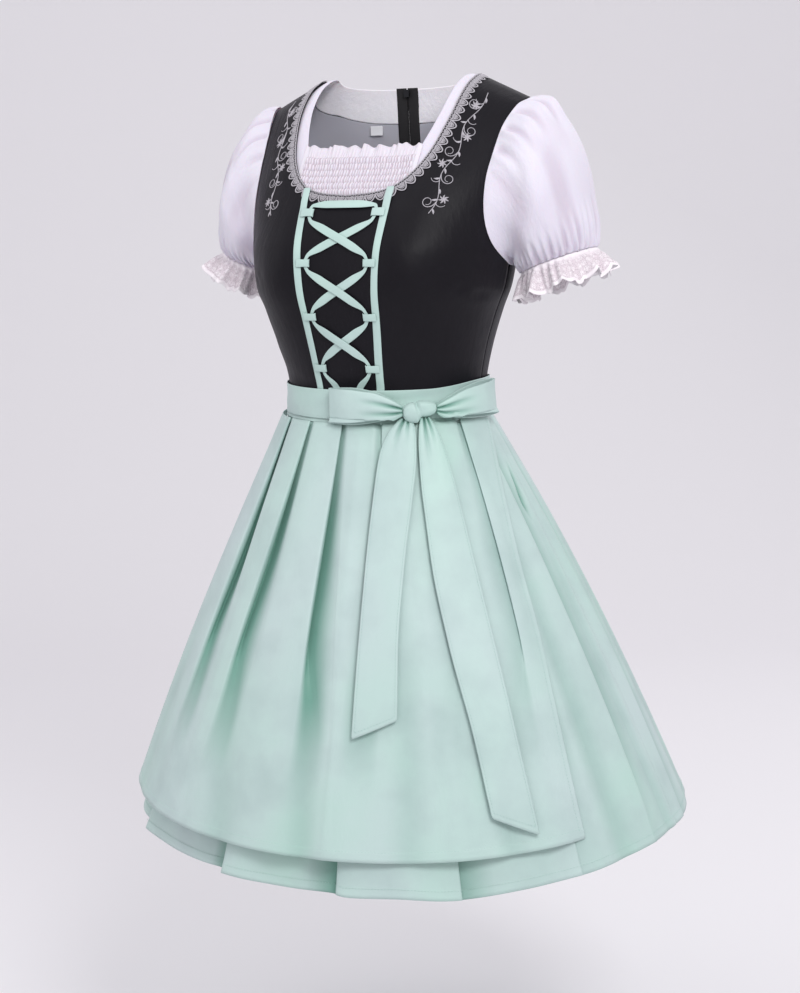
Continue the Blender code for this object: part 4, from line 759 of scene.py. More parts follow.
def addStrip(store, points, normals, width, height):
    # a raised thread along a path: five points across, highest in the middle
    forward = unit(np.gradient(points, axis=0))
    aside = unit(np.cross(forward, normals))
    width = np.broadcast_to(width, len(points))
    shape = ((-1.0, -0.2), (-0.6, 0.75), (0.0, 1.0), (0.6, 0.75), (1.0, -0.2))
    first = len(store["points"])
    for i in range(len(points)):
        for across, up in shape:
            store["points"].append(points[i] + aside[i] * across * width[i] / 2 + normals[i] * up * height)
    wide = len(shape)
    for i in range(len(points) - 1):
        for j in range(wide - 1):
            a = first + i * wide + j
            store["faces"].append((a, a + wide, a + wide + 1, a + 1))


def storeMesh(name, store):
    mesh = bpy.data.meshes.new(name)
    mesh.from_pydata([tuple(point) for point in store["points"]], [], store["faces"])
    mesh.shade_smooth()
    return inScene(name, mesh)


lace = {"width": 0.0135, "scallops": 46, "cord": 0.0012, "cut": (0.0130, 0.460)}


def neckLine(count):
    across, drop = byShare(bodice["neck"]["across"], bodice["neck"]["drop"])
    share = np.linspace(0, 1, 300)
    line = np.stack([np.concatenate([-across(share), across(share)[-2::-1]]),
                     np.concatenate([drop(share), drop(share)[-2::-1]])], axis=1)
    points = frontPoint(line[:, 0], line[:, 1])
    lengths = runOf(points)
    places = np.linspace(0, lengths[-1], count)
    return np.interp(places, lengths, line[:, 0]), np.interp(places, lengths, line[:, 1])


def makeNeckLace():
    # rows of cord worked in the flat: u runs along the neck edge in scallops, v away from it in metres
    count = lace["scallops"] * 24 + 1
    across, drop = neckLine(count)
    points = frontPoint(across, drop)
    forward = unit(np.gradient(points, axis=0))
    normal = unit(frontPoint(across, drop, 0.001) - points)
    away = np.cross(normal, forward)
    away = away * (-1 if away[count // 2, 2] > 0 else 1)
    bands = np.linspace(0.0004, lace["width"] + 0.0012, 12)
    table = []
    for far in bands:
        a, d = walk(across, drop, away, far)
        table.append(frontPoint(a, d, form["trimGap"] + 0.0004))
    table = np.array(table)
    ups = np.array([unit(frontPoint(across, drop, 0.001) - points)] * len(bands))
    columns = np.linspace(0, lace["scallops"], count)

    def onLace(u, v):
        i = np.interp(u, columns, np.arange(count))
        j = np.interp(v, bands, np.arange(len(bands)))
        i0, j0 = np.minimum(i.astype(int), count - 2), np.minimum(j.astype(int), len(bands) - 2)
        s, t = (i - i0)[:, None], (j - j0)[:, None]
        spot = (table[j0, i0] * (1 - s) + table[j0, i0 + 1] * s) * (1 - t)
        spot = spot + (table[j0 + 1, i0] * (1 - s) + table[j0 + 1, i0 + 1] * s) * t
        return spot, unit(ups[j0, i0])

    store = {"points": [], "faces": []}
    w, cord = lace["width"], lace["cord"]
    fine = np.linspace(0, lace["scallops"], lace["scallops"] * 10 + 1)
    for v, wide in ((0.0008, 0.0013), (0.0040, 0.0010)):
        addStrip(store, *onLace(fine, 0 * fine + v), wide, 0.0004)
    zig = 0.0024 + 0.0014 * np.sin(fine * 2 * math.pi * 2)
    addStrip(store, *onLace(fine, zig), 0.0008, 0.0003)
    turn = np.linspace(0, 2 * math.pi, 13)
    for n in range(lace["scallops"]):
        c = n + 0.5
        arc = np.linspace(0, 1, 12)
        addStrip(store, *onLace(n + arc, 0.0046 + (w - 0.0052) * np.sin(math.pi * arc) ** 0.7), cord * 1.3, 0.0004)
        inner = 0.16 + 0.68 * arc
        addStrip(store, *onLace(n + inner, 0.0044 + (w - 0.0078) * np.sin(math.pi * arc) ** 0.75), cord * 0.8, 0.0003)
        for k in range(5):
            lean = math.radians(-72 + 36 * k)
            u = c + (0.20 * math.sin(lean) + 0.085 * np.cos(turn))
            v = 0.0050 + 0.0026 * math.cos(lean) + 0.0010 * np.sin(turn)
            addStrip(store, *onLace(u, v), cord * 0.75, 0.0004)
        addStrip(store, *onLace(c + 0.05 * np.cos(turn), 0.0046 + 0.0006 * np.sin(turn)), cord, 0.0005)
        small = np.clip(n + 0.02 * np.cos(turn), 0, lace["scallops"])
        addStrip(store, *onLace(small, 0.0064 + 0.0008 * np.sin(turn)), cord * 0.7, 0.0003)
    thing = storeMesh("neckLace", store)
    dressPiece(thing, silverThread, ["neck_lace"])


makeNeckLace()
print("neck lace ready")

# ---- embroidered vine on both fronts: places are across and drop, in metres
vine = {
    # a waving stem down each front; each kind of sprig stands on it at even steps, on one side and then the other
    "start": (0.1235, 0.0130), "end": (0.0985, 0.1560), "swing": 0.0032, "waves": 2.5, "thread": 0.00095,
    "scroll": {"count": 5, "length": 0.0390, "lean": 15, "bend": 440},
    "hook": {"count": 6, "length": 0.0110, "lean": 30, "bend": 120},
    "flower": {"count": 4, "stand": 0.0058, "reach": 0.0052, "leaves": 7},
    "leaf": {"count": 13, "length": 0.0062, "lean": 48, "width": 0.0022},
}


def makeEmbroidery():
    store = {"points": [], "faces": []}
    start, end = np.array(vine["start"]), np.array(vine["end"])
    down = unit(end - start)
    aside = np.array([down[1], -down[0]])
    run = math.atan2(down[1], down[0])

    def lay(line, width, height=0.0004):
        across, drop = line[:, 0], line[:, 1]
        base = frontPoint(across, drop, bodiceFolds(across, drop) + 0.0003)
        up = unit(frontPoint(across, drop, 0.002) - frontPoint(across, drop, 0.0))
        addStrip(store, base, up, width, height)

    def onStem(t):
        t = np.asarray(t, dtype=float)[..., None]
        return start + (end - start) * t + vine["swing"] * np.sin(2 * math.pi * vine["waves"] * t) * aside

    def steps(kind):
        for number in range(kind["count"]):
            yield onStem((number + 0.5) / kind["count"]), 1 - 2 * (number % 2)

    def curl(kind, power, wide):
        t = np.linspace(0, 1, 40)
        for point, side in steps(kind):
            turn = run + side * np.radians(kind["lean"] + kind["bend"] * t**power)
            line = point + kind["length"] / 40 * np.cumsum(np.stack([np.cos(turn), np.sin(turn)], axis=-1), axis=0)
            lay(line, vine["thread"] * (wide - 0.4 * t))

    def leaf(point, turn, length, wide):
        t = np.linspace(0, 1, 9)
        bent = turn + 0.35 * t
        lay(point + length * t[:, None] * np.stack([np.cos(bent), np.sin(bent)], axis=-1),
            wide * np.sin(math.pi * t**0.8) ** 0.9 + 0.0003, 0.0005)

    lay(onStem(np.linspace(0, 1, 120)), vine["thread"])
    curl(vine["scroll"], 1.5, 1.15)
    curl(vine["hook"], 1.0, 1.1)
    flower, small = vine["flower"], vine["leaf"]
    for point, side in steps(flower):
        middle = point - side * flower["stand"] * aside
        for k in range(flower["leaves"]):
            leaf(middle, run + 2 * math.pi * k / flower["leaves"], flower["reach"], flower["reach"] * 0.32)
    for point, side in steps(small):
        leaf(point, run - side * math.radians(small["lean"]), small["length"], small["width"])
    points = np.array(store["points"])
    for name, flip in (("embroideryLeft", 1), ("embroideryRight", -1)):
        copy = {"points": points * np.array([flip, 1, 1]),
                "faces": store["faces"] if flip > 0 else [face[::-1] for face in store["faces"]]}
        dressPiece(storeMesh(name, copy), silverThread, [])


makeEmbroidery()
print("embroidery ready")

# ---- lacing
lacing = {
    "tapeWidth": 0.0085, "ribbonWidth": 0.0092, "inLoop": 0.0036, "drops": (0.1545, 0.2085, 0.2680, 0.3270),
    "loopInset": 0.0095, "loopHalf": 0.0045, "turn": 0.0078, "ends": ((0.0165, 0.3465), (0.0125, 0.3535)),
    "heights": {"under": 0.0017, "over": 0.0034, "level": 0.0018, "top": 0.0031, "end": 0.0016},
    "route": ((3, -1, "under"), (2, 1, "over"), (1, -1, "under"), (0, 1, "top"),
              (0, -1, "over"), (1, 1, "under"), (2, -1, "over"), (3, 1, "level")),
    "loop": {"inset": (0.0150, 0.0146, 0.0128, 0.0095, 0.0040, -0.0010),
             "out": (0.0014, 0.0028, 0.0036, 0.0038, 0.0036, 0.0031)},
    "tapeCut": (0.0102, 0.245, 0.0023), "loopCut": (0.0160, 0.0105), "ribbonCut": (0.0100, 0.760, 0.0070),
}


def lacingRoute():
    heights, turn, width = lacing["heights"], lacing["turn"], lacing["ribbonWidth"]
    ends = [(across, drop, heights["end"], width * 0.8) for across, drop in lacing["ends"]]
    stops = [(-across, drop, out, wide) for across, drop, out, wide in reversed(ends)]
    for number, (loop, side, strand) in enumerate(lacing["route"]):
        drop = lacing["drops"][loop]
        across = side * (seamAcross(drop) - lacing["loopInset"])
        inner = across - side * 0.0030
        upward = 1 if number < 4 else -1
        leave = drop - upward * turn
        wide = lacing["inLoop"] * 1.15
        stops += [(inner, drop + upward * turn, heights["level"], wide),
                  (across, drop, heights["level"], lacing["inLoop"]), (inner, leave, heights["level"], wide)]
        if number + 1 < len(lacing["route"]):
            nextLoop, nextSide, _ = lacing["route"][number + 1]
            nextDrop = lacing["drops"][nextLoop]
            enter = nextDrop + (turn if number < 3 else -turn)
            middle = leave - 0.0012 if nextLoop == loop else (leave + enter) / 2
            other = nextSide * (seamAcross(nextDrop) - lacing["loopInset"])
            stops += [(across * 0.45, blend(leave, middle, 0.55), heights[strand], width),
                      (other * 0.45, blend(enter, middle, 0.55), heights[strand], width)]
    return np.array(stops + ends)


def makeLacing():
    drop = np.linspace(neckCornerDrop + 0.0012, 0.3555, 70)
    raised = (form["trimGap"] + form["thin"]) * (1 - ease((drop - 0.140) / 0.010))[:, None]
    aside = np.linspace(-0.5, 0.5, 9) * lacing["tapeWidth"]
    across = seamAcross(drop)[:, None] + aside
    crown = 0.0005 * np.cos(np.linspace(-0.5, 0.5, 9) * math.pi)
    tape = frontPoint(across, np.broadcast_to(drop[:, None], across.shape), form["trimGap"] + 0.0006 + raised + crown)
    pairOf("lacingTape", "lacing_tape", tape, mintSatin, "mint_satin", lacing["tapeCut"], held="laid",
           rests=["bodice_front_left"], wall=wallOf["thin"])
    loop = lacing["loop"]
    insets, outs = byShare(loop["inset"], loop["out"])
    share = np.linspace(0, 1, 12)
    for number, middle in enumerate(lacing["drops"]):
        tall = np.linspace(-1, 1, 7)[:, None]
        wide = seamAcross(middle) - insets(share) + 0 * tall
        pinch = 1 - 0.12 * np.sin(math.pi * share)
        grid = frontPoint(wide, middle + tall * lacing["loopHalf"] * pinch, outs(share) - 0.0004 * tall**2)
        pairOf("lacingLoop%d" % (number + 1), "lacing_loop_%d" % (number + 1), grid, mintSatin, "mint_satin",
               lacing["loopCut"], held="folded", rests=["lacing_tape_left"], wall=wallOf["thin"])
    stops = lacingRoute()
    fine = np.linspace(0, len(stops) - 1, (len(stops) - 1) * 8 + 1)
    across, drop, out, width = [smoothCurve(np.arange(len(stops)), stops[:, k])(fine) for k in range(4)]
    center = frontPoint(across, drop, out)
    normal = unit(frontPoint(across, drop, 0.001) - frontPoint(across, drop))
    forward = unit(np.gradient(center, axis=0))
    aside = unit(np.cross(forward, normal))
    lines = []
    for t in np.linspace(1, -1, 9):
        gather = 0.0005 * math.cos(t * math.pi * 2.5) * (1 - width / lacing["ribbonWidth"])
        lines.append(center + aside * (width * t / 2)[:, None] + normal * (gather + 0.0002 * (1 - t * t))[:, None])
    clothPiece("lacingRibbon", np.stack(lines, axis=1), mintSatin, "mint_satin", ["lacing_ribbon"],
               lacing["ribbonCut"], held="laid", rests=["bodice_front_center", "lacing_loop_1_left"],
               wall=wallOf["thin"])


makeLacing()
print("lacing ready")

# ---- sleeves
sleeve = {
    "shape": {"along": (0.00, 0.12, 0.30, 0.50, 0.68, 0.84, 0.94, 1.00),
              "topX": (0.1680, 0.1902, 0.2120, 0.2310, 0.2410, 0.2465, 0.2460, 0.2440),
              "topZ": (-0.0335, -0.0370, -0.0620, -0.1020, -0.1430, -0.1760, -0.1930, -0.2010),
              "lowX": (0.1585, 0.1590, 0.1596, 0.1602, 0.1607, 0.1611, 0.1613, 0.1615),
              "lowZ": (-0.2150, -0.2178, -0.2206, -0.2230, -0.2250, -0.2268, -0.2280, -0.2290),
              "middleY": (-0.036, -0.031, -0.023, -0.025, -0.027, -0.028, -0.028, -0.028),
              "reach": (0.070, 0.077, 0.081, 0.080, 0.073, 0.062, 0.052, 0.047)},
    "rightNarrower": 0.015, "rightShallower": 0.010, "settlesAlong": 0.30,
    "round": 256, "rows": 60, "gathers": 34, "cuffDepth": 0.0042, "capDepth": 0.0036, "soft": 0.0044, "drawn": 0.0016,
    "ruffle": {"length": 0.032, "flare": 0.013, "waves": 10, "wave": 0.0078, "lift": 0.0042, "scallop": 0.0034,
               "scallops": 14, "round": 440},
    # around in degrees (0 at the top, 90 towards the back), hundredths along, around, along, width, depth
    "creases": ((-74, 30, -46, 62, 6, -0.0045), (-56, 28, -34, 58, 6, 0.0030), (-100, 48, -84, 84, 6, -0.0040),
                (-40, 60, -34, 92, 5, -0.0042), (-14, 58, -16, 94, 5, 0.0032), (-66, 62, -60, 94, 5, -0.0040),
                (-50, 66, -46, 96, 4, 0.0026), (-24, 64, -24, 96, 4, -0.0034), (2, 66, 2, 95, 4, -0.0030),
                (12, 20, 30, 55, 8, -0.0030), (50, 25, 62, 62, 8, -0.0030), (95, 40, 90, 85, 7, -0.0034)),
    "cut": {"left": (0.420, 0.240, 0.0640), "right": (0.400, 0.235, 0.0590)},
    "ruffleCut": {"left": (0.540, 0.034, 0.0150), "right": (0.490, 0.034, 0.0130)},
}


def armholeRing(count):
    drop = np.concatenate([np.linspace(0, underarmDrop, 120), np.linspace(underarmDrop, 0, 120)[1:-1]])
    onBack = np.arange(len(drop)) < 120
    edge = np.where(onBack, armhole["back"](drop) + 0.8, armhole["front"](drop) - 0.8)
    low = ease((drop - 0.19) / (underarmDrop - 0.19))
    edge = blend(edge, np.where(onBack, armhole["back"](drop), armhole["front"](drop)), low)
    points = torsoPoint(edge, drop + 0.0015 * low, 0.0012 + 0.0018 * ease(1 - drop / 0.06))
    loop = np.concatenate([points, points[:1]])
    lengths = runOf(loop)
    places = np.linspace(0, lengths[-1], count, endpoint=False)
    return np.stack([np.interp(places, lengths, loop[:, axis]) for axis in range(3)], axis=1)


def sleeveFrame(along, rightSide):
    shape = curvesOf(sleeve["shape"])
    settled = np.minimum(along / sleeve["settlesAlong"], 1) * rightSide
    middleY = shape["middleY"](along)
    top = np.stack([shape["topX"](along) - settled * sleeve["rightNarrower"], middleY, shape["topZ"](along)], axis=-1)
    low = np.stack([shape["lowX"](along), middleY, shape["lowZ"](along)], axis=-1)
    return (top + low) / 2, (top - low) / 2, shape["reach"](along) - settled * sleeve["rightShallower"]


def sleeveGrid(rightSide):
    along = np.linspace(0, 1, sleeve["rows"]) ** 1.05
    count = sleeve["round"]
    around = np.linspace(0, 2 * math.pi, count, endpoint=False)
    middle, rise, reach = sleeveFrame(along, rightSide)
    grid = middle[:, None] + rise[:, None] * np.cos(around)[:, None]
    grid[..., 1] += reach[:, None] * np.sin(around)
    free = ease(along / 0.36)[:, None, None]
    grid = blend(grid + (armholeRing(count) - grid[0]), grid, free)
    far = along[:, None]
    wander = 0.8 * np.sin(around * 3 + 1) + 0.5 * np.sin(around * 7 + far * 3)
    gathers = np.sin(around * sleeve["gathers"] + wander)
    wide = np.sin(around * sleeve["gathers"] / 2 + wander * 0.7 + 2.0)
    # the fullness is drawn in by elastic just above the cuff, so the folds are sharpest there
    atCuff = ease((far - 0.60) / 0.34) ** 1.4
    onTop = ease((np.cos(around) + 0.35) / 0.8)
    atCap = ease(far / 0.05) * (1 - ease((far - 0.08) / 0.26)) * onTop
    billow = np.sin(math.pi * far) * (np.sin(around * 5 + 0.6 + 2.2 * far) + 0.6 * np.sin(around * 9 + 1.1 - 3 * far))
    drawn = np.exp(-(((far - 0.965) / 0.035) ** 2)) * np.sin(around * sleeve["gathers"] * 1.5 + 2 * wander)
    amount = sleeve["cuffDepth"] * atCuff * (0.60 * gathers + 0.50 * wide * (1 - 0.6 * ease((far - 0.88) / 0.12)))
    amount = amount + sleeve["capDepth"] * atCap * (0.7 * wide + 0.3 * gathers) + sleeve["soft"] * billow * 0.5
    amount = amount + creaseDepth(np.degrees(around), 100 * far, sleeve["creases"]) + sleeve["drawn"] * drawn
    # the second grid is painted shade where the cloth sinks into its creases and gathers
    return grid + unit(grid - middle[:, None]) * amount[..., None], np.clip(-amount / 0.0050, 0, 0.5)


def cuffFrillGrid(rightSide):
    ruffle = sleeve["ruffle"]
    middle, rise, reach = sleeveFrame(np.array([1.0]), rightSide)
    around = np.linspace(0, 2 * math.pi, ruffle["round"], endpoint=False)
    upward = unit(rise)
    axis = np.cross(upward, np.array([0.0, 1.0, 0.0]))
    axis = axis * np.sign(-axis[0, 2])
    spoke = upward * np.cos(around)[:, None]
    spoke[:, 1] += np.sin(around)
    base = upward * ((np.linalg.norm(rise) + 0.0006) * np.cos(around))[:, None]
    base[:, 1] += (reach[0] + 0.0006) * np.sin(around)
    rows = []
    wave = np.cos(around * ruffle["waves"] + 0.9 * np.sin(around * 3 + 0.6))
    small = np.sin(around * ruffle["waves"] * 3 + 0.7 + 0.8 * np.sin(around * 5))
    for share in np.linspace(0, 1, 30):
        # the gathers under the heading are tight and open into the waves of the edge
        drawn = 0.0013 * small * (1 - share) * ease(share * 6) - 0.0016 * np.exp(-((share - 0.16) / 0.07) ** 2)
        out = ruffle["flare"] * share**0.8 + ruffle["wave"] * share * (wave + 0.22 * small) + drawn
        scallop = ruffle["scallop"] * share * np.abs(np.cos(around * ruffle["scallops"]))
        # where a wave stands out its edge is lifted, and between waves it hangs
        drop = form["seam"] + (ruffle["length"] - ruffle["scallop"]) * share + scallop - ruffle["lift"] * share * wave
        rows.append(middle + base + spoke * out[:, None] + axis * drop[:, None])
    return np.array(rows)


def makeSleeves():
    walls = {"held": "gathered", "ring": True}
    for side, rightSide in (("Left", 0), ("Right", 1)):
        node = side.lower()
        (grid, hollowShade), frill = sleeveGrid(rightSide), cuffFrillGrid(rightSide)
        if rightSide:
            grid, hollowShade, frill = mirrored(grid), hollowShade[:, ::-1], mirrored(frill)
        clothPiece("sleeve" + side, grid, whiteCrepe, "white_cotton", ["sleeve_" + node], sleeve["cut"][node],
                   rests=["bodice_front_" + node], wall=wallOf["thin"], hollowShade=hollowShade, **walls)
        clothPiece("cuffFrill" + side, frill, frillLace, "white_lace", ["cuff_frill_" + node],
                   sleeve["ruffleCut"][node], rests=["sleeve_" + node], wall=wallOf["sheer"], smooth=0, **walls)


makeSleeves()
print("sleeves ready")

# ---- skirt and apron
skirt = {
    "pleat": {"down": (0.00, 0.10, 0.30, 0.60, 1.00), "underlap": (0.0120, 0.0100, 0.0070, 0.0050, 0.0040),
              "depth": (0.0048, 0.0060, 0.0090, 0.0100, 0.0100), "opening": (0.008, 0.012, 0.020, 0.030, 0.038)},
    "shadowEnd": 1.2,
    # angle at the waist, angle at the hem, the way the edge faces, strength along the skirt and at the hem
    "frontFolds": ((-59.0, -66.0, -1, 0.8, 0.5), (-41.0, -47.8, -1, 0.7, 1.8), (-17.0, -16.8, -1, 0.9, 2.3),
                   (9.5, 9.2, -1, 0.7, 1.0), (33.5, 33.0, 1, 0.6, 0.6), (57.0, 57.0, 1, 0.7, 0.15),
                   (79.0, 79.5, 1, 0.6, 0.10)),
    "backFolds": ((98.0, 95.0, 1, 0.9, 0.25), (120.0, 119.0, 1, 0.9, 0.35), (142.0, 141.0, 1, 0.9, 0.4),
                  (163.0, 162.0, 1, 0.8, 0.3)),
    # how far the panels between the steps turn in at the hem, and how much lower the hem hangs
    "hem": {"angle": (-180.0, -135.0, -112.0, -90.0, -72.0, -55.5, -48.5, -40.0, -30.0, -22.5, -16.5, -13.0, -5.0,
                      2.5, 8.6, 10.0, 20.0, 31.0, 43.0, 60.0, 80.0, 180.0),
            "tuck": (0.0, 0.0, 0.0090, 0.0140, 0.0150, 0.0160, 0.0, 0.0080, 0.0140, 0.0200, 0.0, 0.0, 0.0115,
                     0.0130, 0.0030, 0.0, 0.0, 0.0, 0.0, 0.0, 0.0, 0.0),
            "drop": (0.0, 0.0, 0.0, 0.0, 0.0, 0.0, 0.0, 0.0, 0.0, 0.0, 0.0, 0.0, 0.0,
                     0.0, 0.0, 0.0030, 0.0022, 0.0062, 0.0032, 0.0010, 0.0, 0.0)},
    # angle, hundredths down, angle, hundredths down, width, and how dark the painted shadow is, for shadows in the gaps
    # of folds
    "slitShadows": ((86.5, 13, 84.8, 24, 0.7, 0.9),),
    "hemFrom": 0.62, "rows": 46, "frontCut": (1.25, 0.535, 0.47), "backCut": (0.64, 0.535, 0.25),
    # angle, hundredths down, angle, hundredths down, width, depth
    "waves": ((52, 20, 62, 120, 3.4, 0.0040), (68, 22, 70, 120, 3.0, -0.0060), (77, 18, 79, 118, 3.0, 0.0040),
              (87, 26, 88, 120, 2.6, -0.0055), (96, 20, 97, 118, 3.0, 0.0040),
              (-60, 60, -66, 120, 4.0, 0.0020), (107, 25, 109, 120, 4.0, -0.0045), (130, 25, 131, 120, 4.0, 0.0035),
              (152, 30, 152, 120, 4.0, -0.0030), (86.5, 14, 84.8, 24, 0.8, -0.0060)),
}
apron = {
    # the folds are deep and crisp under the band and open out before the lower third
    "pleat": {"down": (0.00, 0.10, 0.20, 0.32, 0.46, 0.60, 0.72, 1.00),
              "underlap": (0.0120, 0.0100, 0.0080, 0.0060, 0.0040, 0.0016, 0.0, 0.0),
              "depth": (0.0045, 0.0070, 0.0110, 0.0130, 0.0105, 0.0050, 0.0008, 0.0),
              "opening": (0.006, 0.010, 0.015, 0.022, 0.030, 0.038, 0.042, 0.044)},
    "shadowEnd": 0.52,
    "folds": ((-44.0, -43.0, 1, 1.0, 1.0), (-23.5, -30.0, 1, 1.0, 1.6), (-2.2, -3.0, 1, 1.0, 1.3),
              (19.0, 17.0, -1, 0.6, 0.6), (41.0, 36.5, -1, 0.15, 0.15), (63.0, 52.0, -1, 0.30, 0.3)),
    "top": 0.0114, "hem": 0.930, "rows": 46, "cut": (0.86, 0.495, 0.345),
    "over": {"down": (0.00, 0.03, 0.10, 0.19, 0.34, 0.51, 0.63, 0.80, 1.00),
             "out": (0.0062, 0.0058, 0.0042, 0.0034, 0.0030, 0.0030, 0.0030, 0.0030, 0.0030),
             "tuck": (0.0, 0.0020, 0.0060, 0.0100, 0.0135, 0.0140, 0.0115, 0.0080, 0.0070),
             "edge": (87.0, 85.2, 78.5, 72.6, 67.2, 64.5, 62.3, 60.5, 59.3)},
    "waves": ((-1.5, 48, 4.0, 122, 3.2, -0.0052), (9, 55, 9.5, 122, 3.4, 0.0032), (-24, 62, -13, 122, 4.2, -0.0040),
              (-40, 55, -36, 122, 5.0, 0.0030), (-52, 40, -54, 122, 3.6, -0.0030), (25, 46, 22, 122, 3.2, -0.0040),
              (33, 40, 34, 122, 3.0, 0.0028), (44, 28, 44, 122, 2.6, -0.0034), (53, 24, 52, 122, 2.6, 0.0026),
              (8, 4, 7, 45, 2.4, 0.0020), (-13, 5, -18, 60, 3.0, 0.0016), (68, 12, 60, 60, 2.4, -0.0020)),
}
# how much light each point across a pleat loses, from the fold's edge through the underlap to the open side
pleatShadow = (0.0, 0.5, 0.9, 1.0, 1.0, 1.0, 1.0, 1.0, 0.95, 0.62, 0.25, 0.0)
apronOver = curvesOf(apron["over"])
apronShape = curvesOf(apron["pleat"])
zipCoil = {"length": 0.0012, "pitch": 0.0018, "thick": 0.0021, "aside": 0.0007, "fromTop": 0.012, "endDrop": 0.384}
stitching = {"length": 0.0021, "pitch": 0.0036, "thick": 0.00042, "hem": 0.0105, "edge": 0.0062}


def hemSettled(down):
    return ease((down - skirt["hemFrom"]) / (1 - skirt["hemFrom"]))


def hemFold(down, hem):
    # the cloth doubled over along the hem stands a little prouder than the single cloth above it
    return 0.0004 * ease((down - hem + stitching["hem"] / form["skirtLength"]) * 600)


def hemRows(first, last, count):
    # rows gather at the hem, where its doubled edge starts
    width = stitching["hem"] / form["skirtLength"]
    edge = last - width + np.array([-0.0035, -0.0012, 0.0012, 0.0035])
    return np.sort(np.concatenate([np.linspace(first, last, count), edge]))


def sway(angle, down):
    # soft hanging waves that the apron and the skirt share
    turn = np.radians(angle)
    slow = np.sin(turn * 7 + 0.8 + down * 0.9) + 0.5 * np.sin(turn * 13 + 2.1 - down * 1.3)
    return 0.0012 * slow * ease(down / 0.5)


def valley(waves):
    # how much painted shade a wave's trough gets, by its depth
    return 0.32 * np.clip(-waves / 0.006, 0, 1)


def pleatRow(folds, shape, shadowEnd, down, start, end):
    # angles, insets and painted shade of one level of a knife-pleated panel; the flats between pleats belly out a
    # little
    underlap = arcAngle(shape["underlap"](down), down)
    opening = arcAngle(shape["opening"](down), down)
    opened = 1 - ease(shape["underlap"](down) / 0.004)
    shadow = (0.5 + 0.5 * ease(down / 0.25)) * (1 - ease((down - shadowEnd) / 0.30))
    places = [(start, 0.0, 0.0)]
    flatPoints = (0.07, 0.18, 0.3, 0.42, 0.5, 0.58, 0.7, 0.82, 0.93)

    def addFlat(target):
        before = places[-1][0]
        belly = 0.0011 * ease(down / 0.3)
        for share in flatPoints:
            places.append((blend(before, target, share), -belly * math.sin(math.pi * share) ** 2, 0.0))

    for number, (waistAngle, hemAngle, faces, strength, hemStrength) in enumerate(folds):
        angle = blend(waistAngle, hemAngle, down) + 0.25 * math.sin(6 * down + number * 1.7) * down
        kept = blend(strength, hemStrength, hemSettled(down))
        depth = shape["depth"](down) * blend(1.0, kept, ease(down / 0.15))
        pleat = [(0.0, 0.0), (0.0, 0.35 * depth), (-0.05 * underlap, 0.60 * depth), (-0.5 * underlap, 0.62 * depth),
                 (-0.95 * underlap, 0.66 * depth), (-underlap, 0.85 * depth), (-0.9 * underlap, 1.0 * depth),
                 (-0.4 * underlap, 1.0 * depth), (0.15 * opening, depth), (0.45 * opening, 0.72 * depth),
                 (0.75 * opening, 0.36 * depth), (opening, 0.12 * depth)]
        # where the fold has opened out its layers lie beside each other
        spread = np.linspace(0, opening, len(pleat))
        dark = [shadow * kept * share for share in pleatShadow]
        pleat = [(angle + faces * blend(shift, wide, opened), inset, hollowShade)
                 for (shift, inset), wide, hollowShade in zip(pleat, spread, dark)]
        if faces < 0:
            pleat.reverse()
        addFlat(pleat[0][0])
        places += pleat
    addFlat(end)
    places.append((end, 0.0, 0.0))
    return np.array(places).T


def skirtGrid(folds, start, end, startGap, endGap, side=1):
    # side is -1 for a panel that is mirrored to the wearer's right
    shape, hem = curvesOf(skirt["pleat"]), curvesOf(skirt["hem"])
    rows, hollowShades = [], []
    for down in np.concatenate([[0.001, 0.02], hemRows(0.05, 1.0, skirt["rows"])]):
        ends = start + arcAngle(startGap, down), end - arcAngle(endGap, down)
        angle, inset, hollowShade = pleatRow(folds, shape, skirt["shadowEnd"], down, *ends)
        edge = apronOver["edge"](down)
        out = -apronOver["tuck"](down) * ease((edge - 1 - np.abs(angle)) / 7)
        inset = inset + hem["tuck"](side * angle) * hemSettled(down)
        waves = creaseDepth(side * angle, 100 * down, skirt["waves"]) * ease(np.minimum(angle - start, end - angle) / 5)
        row = skirtPoint(angle, down, out - inset + waves + sway(angle, down) + hemFold(down, 1.0))
        row[:, 2] -= hem["drop"](side * angle) * hemSettled(down)
        rows.append(row)
        # painted shade: the pleats' shadows, the troughs of the waves and the shadow in the gap of a fold
        hollowShades.append(hollowShade + valley(waves) + creaseDepth(side * angle, 100 * down, skirt["slitShadows"]))
    return np.array(rows), np.clip(hollowShades, 0, 1)


def apronLevel(down, lift=0.0):
    edge = apronOver["edge"](down)
    angle, inset, hollowShade = pleatRow(apron["folds"], apronShape, apron["shadowEnd"], down, -(edge + 2.5 * down), edge)
    waves = creaseDepth(angle, 100 * down, apron["waves"])
    out = apronOver["out"](down) - inset + waves + sway(angle, down) + hemFold(down, apron["hem"])
    # painted shade: the pleats' shadows and the troughs of the waves
    return skirtPoint(angle, down, out + lift), np.clip(hollowShade + valley(waves), 0, 1)


